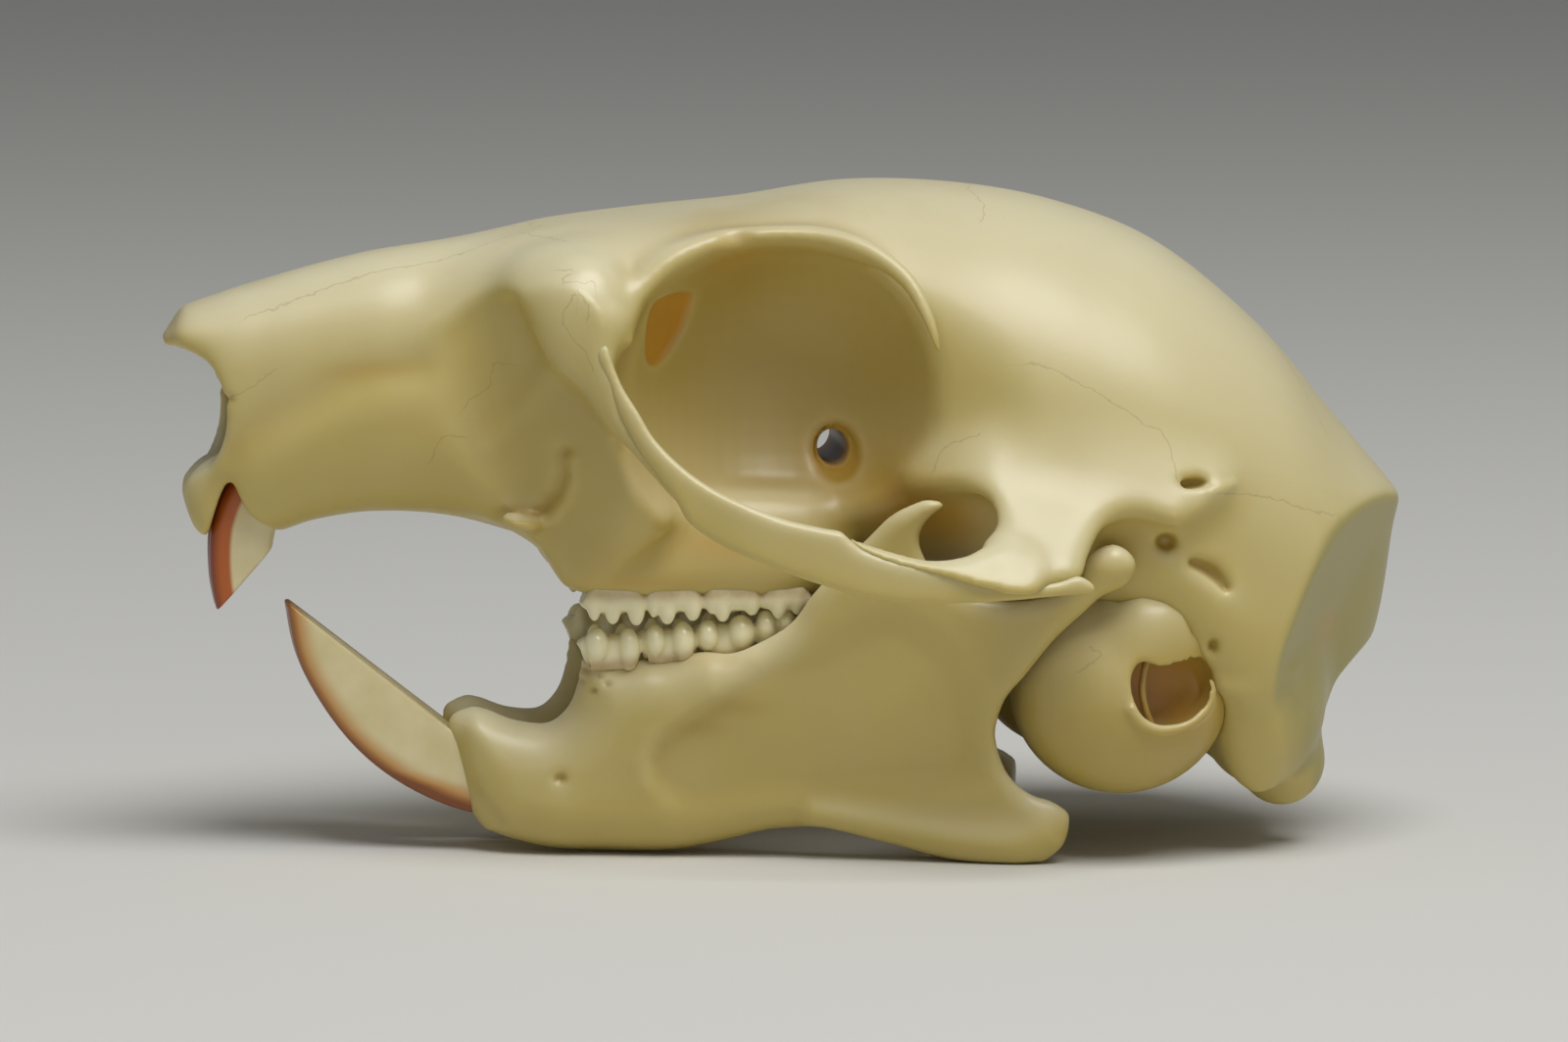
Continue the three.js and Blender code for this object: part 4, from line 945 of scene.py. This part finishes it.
def tooth_enamel(name, pale, stain_and_shade, roughness):
    """Enamel of the cheek teeth, polished by chewing. It looks glossy and milky, with
    brown stain at the gum, and brown in the gaps for dirt and painted shade."""
    material, tree, place = bare_material(name)
    cloud_mm = 1.11
    hollow = add_node(tree, "ShaderNodeAttribute", attribute_name="hollow").outputs["Fac"]
    gum = add_node(tree, "ShaderNodeAttribute", attribute_name="gum").outputs["Fac"]
    cloud = add_node(tree, "ShaderNodeTexNoise", {"Vector": place, "Scale": 1000 / cloud_mm, "Detail": 3.0})
    # Dirt and painted shade: hollows between the cusps are coloured brown, besides the stain at the gum.
    pocket = add_node(tree, "ShaderNodeMapRange", {"Value": hollow, 1: 0.6, 2: 1.0, 4: 0.5})
    dirt_and_shade = add_node(tree, "ShaderNodeMath", {0: gum, 1: pocket.outputs[0]}, operation="ADD")
    dirt_and_shade = add_node(tree, "ShaderNodeMath", {0: dirt_and_shade.outputs[0], 1: cloud.outputs["Fac"]},
                    operation="MULTIPLY", use_clamp=True)
    base = add_node(tree, "ShaderNodeMix", {
        "Factor": dirt_and_shade.outputs[0], 6: hex_colour(pale), 7: hex_colour(stain_and_shade),
    }, data_type="RGBA")
    bump = add_node(tree, "ShaderNodeBump", {
        "Height": cloud.outputs["Fac"], "Strength": 0.1, "Distance": 0.00005,
    })
    shader = add_node(tree, "ShaderNodeBsdfPrincipled", {
        "Base Color": base.outputs[2], "Roughness": roughness, "Normal": bump.outputs[0], "IOR": 1.62,
        "Subsurface Weight": 0.2, "Subsurface Radius": (1.0, 0.9, 0.6), "Subsurface Scale": 0.0006,
    })
    add_node(tree, "ShaderNodeOutputMaterial", {"Surface": shader.outputs[0]})
    return material


enamel = tooth_enamel("cheek_tooth_enamel", "#F3EBC2", "#A5782E", 0.2)
upper_row = Clay((-11.4, -7.8, 11.2), (1.8, -3.2, 15.0), cell=0.075)
for front, rear in upper_crowns:
    middle, half = (front + rear) / 2, (rear - front) / 2
    upper_row.add(rod([
        [front, -5.4, 13.4, 0.6, 1.0],
        [front + 0.25, -5.4, 13.3, 0.86, 1.42],
        [middle, -5.4, 13.25, 0.9, 1.5],
        [rear - 0.25, -5.4, 13.3, 0.86, 1.42],
        [rear, -5.4, 13.4, 0.6, 1.0],
    ], square=3.0), blend=0.05)
    upper_row.add(ovoid((middle, -4.5, 12.75), (half - 0.2, 0.7, 0.7)), blend=0.3)
for x, tip, wide in upper_cusps:
    upper_row.add(ovoid((x, -6.35, tip + 0.85), (wide, 0.5, 0.85)), blend=0.18)
# The lower row climbs a little towards the back, by this much per mm
row_slope = 0.09
lower_row = Clay((-11.4, -7.4, 8.6), (1.4, -2.8, 13.0), cell=0.075)
for front, rear in lower_crowns:
    middle, half = (front + rear) / 2, (rear - front) / 2
    rise = row_slope * (middle + 9.0)
    lower_row.add(rod([
        [front, -4.7, 10.1 + rise, 0.5, 0.7], [front + 0.3, -4.7, 10.2 + rise, 0.85, 1.0],
        [rear - 0.3, -4.7, 10.2 + rise, 0.85, 1.0], [rear, -4.7, 10.1 + rise, 0.5, 0.7],
    ], square=3.0), blend=0.05)
    for inner in (-0.5, 0.5):
        lower_row.add(ovoid((middle + inner * half, -3.9, 10.7 + rise), (0.45, 0.5, 0.9)), blend=0.2)
for x, middle, wide, tall in lower_pillars:
    lower_row.add(ovoid((x, -5.45, middle), (wide, 0.85, tall)), blend=0.12)
for word, row, gum_line in (("upper", upper_row, 13.3), ("lower", lower_row, 9.7)):
    teeth = Sculpt(row.surface(whole=False))
    teeth.hollows(8, 0.12)
    slope = row_slope if word == "lower" else 0.0
    above_gum = teeth.points[:, 2] - gum_line - slope * (teeth.points[:, 0] + 9.0)
    teeth.marks["gum"] = np.exp(-(above_gum / 0.35) ** 2)
    for side, mirrored in (("left", False), ("right", True)):
        made = teeth.piece(f"{word}_cheek_teeth_{side}", enamel, mirrored)

# Gnawing teeth: two above and two below, curved like hoops and worn to a chisel edge.
# The front face is hard orange enamel, the rest is cream dentine.
upper_gnaw_rows = [
    [-24.3, -1.5, 19.6, 0.72, 1.1],
    [-26.2, -1.35, 18.3, 0.78, 1.5],
    [-27.05, -1.15, 16.4, 0.8, 1.6],
    [-27.2, -1.0, 14.0, 0.8, 1.55],
    [-26.75, -0.98, 11.9, 0.8, 1.6],
]
lower_gnaw_rows = [
    [-12.0, -2.7, 3.3, 0.75, 1.7],
    [-16.0, -2.0, 4.1, 0.8, 2.05],
    [-19.6, -1.5, 6.3, 0.8, 2.15],
    [-22.3, -1.15, 9.8, 0.8, 2.0],
    [-23.3, -0.98, 12.9, 0.8, 1.75],
]


def gnawing_enamel(name, deep, bright, fade):
    """Iron-stained enamel over cream dentine, honed by gnawing. It gives a glossy orange
    band on the front face, which fades into the dentine between the two depths in `fade`,
    in millimetres."""
    material, tree, place = bare_material(name)
    cloud_mm = 1.43
    inward = add_node(tree, "ShaderNodeAttribute", attribute_name="inward").outputs["Fac"]
    cloud = add_node(tree, "ShaderNodeTexNoise", {"Vector": place, "Scale": 1000 / cloud_mm, "Detail": 3.0})
    band = add_node(tree, "ShaderNodeMapRange", {"Value": inward, 1: fade[0], 2: fade[1], 3: 1.0, 4: 0.0},
                    interpolation_type="SMOOTHSTEP")
    dark = add_node(tree, "ShaderNodeMapRange", {"Value": inward, 1: 0.05, 2: 0.5, 3: 1.0, 4: 0.0})
    orange = add_node(tree, "ShaderNodeMix", {
        "Factor": dark.outputs[0], 6: hex_colour(bright), 7: hex_colour(deep),
    }, data_type="RGBA")
    dentine = add_node(tree, "ShaderNodeMix", {
        "Factor": cloud.outputs["Fac"], 6: hex_colour("#E6DBB0"), 7: hex_colour("#D2C188"),
    }, data_type="RGBA")
    base = add_node(tree, "ShaderNodeMix", {
        "Factor": band.outputs[0], 6: dentine.outputs[2], 7: orange.outputs[2],
    }, data_type="RGBA")
    bump = add_node(tree, "ShaderNodeBump", {
        "Height": cloud.outputs["Fac"], "Strength": 0.15, "Distance": 0.00005,
    })
    shader = add_node(tree, "ShaderNodeBsdfPrincipled", {
        "Base Color": base.outputs[2], "Roughness": 0.28, "Normal": bump.outputs[0], "IOR": 1.62,
        "Subsurface Weight": 0.1, "Subsurface Radius": (1.0, 0.6, 0.3), "Subsurface Scale": 0.0004,
    })
    add_node(tree, "ShaderNodeOutputMaterial", {"Surface": shader.outputs[0]})
    return material


upper_gnaw = Clay((-29.6, -2.4, 11.4), (-22.6, 0.0, 20.4), cell=0.075)
upper_gnaw.add(rod(upper_gnaw_rows, (0, 1, 0), square=3.0))
upper_gnaw.cut_beyond((0.75, 0, -0.66), (-26.5, 0, 14.3), blend=0.1)
lower_gnaw = Clay((-26.6, -3.8, 1.0), (-11.6, 0.0, 13.4), cell=0.075)
lower_gnaw.add(rod(lower_gnaw_rows, (0, 1, 0), square=3.0))
lower_gnaw.cut_beyond((0.62, 0, 0.785), (-22.0, 0, 10.25), blend=0.1)
upper_enamel = gnawing_enamel("upper_gnawing_enamel", "#802E02", "#B85A04", (0.9, 1.15))
lower_enamel = gnawing_enamel("lower_gnawing_enamel", "#8A4A12", "#C88A3A", (0.2, 1.3))
for word, clay, rows, material in (
    ("upper", upper_gnaw, upper_gnaw_rows, upper_enamel),
    ("lower", lower_gnaw, lower_gnaw_rows, lower_enamel),
):
    tooth = Sculpt(clay.surface())
    rows = np.array(rows)
    depth = np.interp(tooth.points[:, 2], np.sort(rows[:, 2]), rows[np.argsort(rows[:, 2]), 4])
    numbered = np.column_stack([np.arange(len(rows)), rows[:, 0], rows[:, 2]])
    middle_line = along_rows(numbered, np.linspace(0, len(rows) - 1, 60))[:, 1:]
    away = path_distance(tooth.points, middle_line)
    tooth.marks["inward"] = depth + away * (-1 if word == "upper" else 1)
    for side, mirrored in (("left", False), ("right", True)):
        made = tooth.piece(f"{word}_gnawing_tooth_{side}", material, mirrored)
        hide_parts(f"{word}_incisor_{side}")

# Floor and light: a plain pale table, a large soft lamp above and a weak one in front.
floor_half = 3.0
corners = [(x * floor_half, y * floor_half, 0) for x, y in ((-1, -1), (1, -1), (1, 1), (-1, 1))]
floor_mesh = bpy.data.meshes.new("floor")
floor_mesh.from_pydata(corners, [], [(0, 1, 2, 3)])
floor = bpy.data.objects.new("floor", floor_mesh)
bpy.context.scene.collection.objects.link(floor)
paint = bpy.data.materials.new("pale_paper")
paint.use_nodes = True
paint.node_tree.nodes["Principled BSDF"].inputs["Base Color"].default_value = hex_colour("#DEDDD8")
paint.node_tree.nodes["Principled BSDF"].inputs["Roughness"].default_value = 0.9
floor_mesh.materials.append(paint)


def soft_lamp(name, place, target, size, watts):
    """A round lamp that is aimed at a point."""
    lamp = bpy.data.lights.new(name, "AREA")
    lamp.shape, lamp.size, lamp.energy = "DISK", size, watts
    made = bpy.data.objects.new(name, lamp)
    made.location = place
    aim = [t - p for t, p in zip(target, place)]
    made.rotation_mode = "QUATERNION"
    made.rotation_quaternion = Vector(aim).to_track_quat("-Z", "Y")
    bpy.context.scene.collection.objects.link(made)


picture_middle = (0, 0, 0.02)
soft_lamp("lamp_above", (0.08, -0.26, 0.58), picture_middle, size=0.45, watts=3.1)
soft_lamp("lamp_front", (0.1, -0.75, 0.25), picture_middle, size=0.5, watts=0.25)
world = bpy.data.worlds.new("studio")
bpy.context.scene.world = world
world.use_nodes = True
world.node_tree.nodes["Background"].inputs["Color"].default_value = hex_colour("#D8DADA")
world.node_tree.nodes["Background"].inputs["Strength"].default_value = 0.22
bpy.context.scene.view_settings.view_transform = "Standard"

# Camera: the photograph's angle, 6 degrees from the side and 6 degrees above, from 0.45 m.
turn, rise, away = math.radians(-6), math.radians(6), 0.45
aimed_at = Vector((0.000043, 0, 0.0162))
back = Vector((math.sin(turn) * math.cos(rise), -math.cos(turn) * math.cos(rise), math.sin(rise)))
camera_data = bpy.data.cameras.new("camera")
camera_data.sensor_width, camera_data.lens = 36.0, 205.2
camera_data.clip_start, camera_data.clip_end = 0.01, 50.0
camera = bpy.data.objects.new("camera", camera_data)
camera.location = aimed_at + back * away
camera.rotation_mode = "QUATERNION"
camera.rotation_quaternion = (-back).to_track_quat("-Z", "Y")
bpy.context.scene.collection.objects.link(camera)
bpy.context.scene.camera = camera
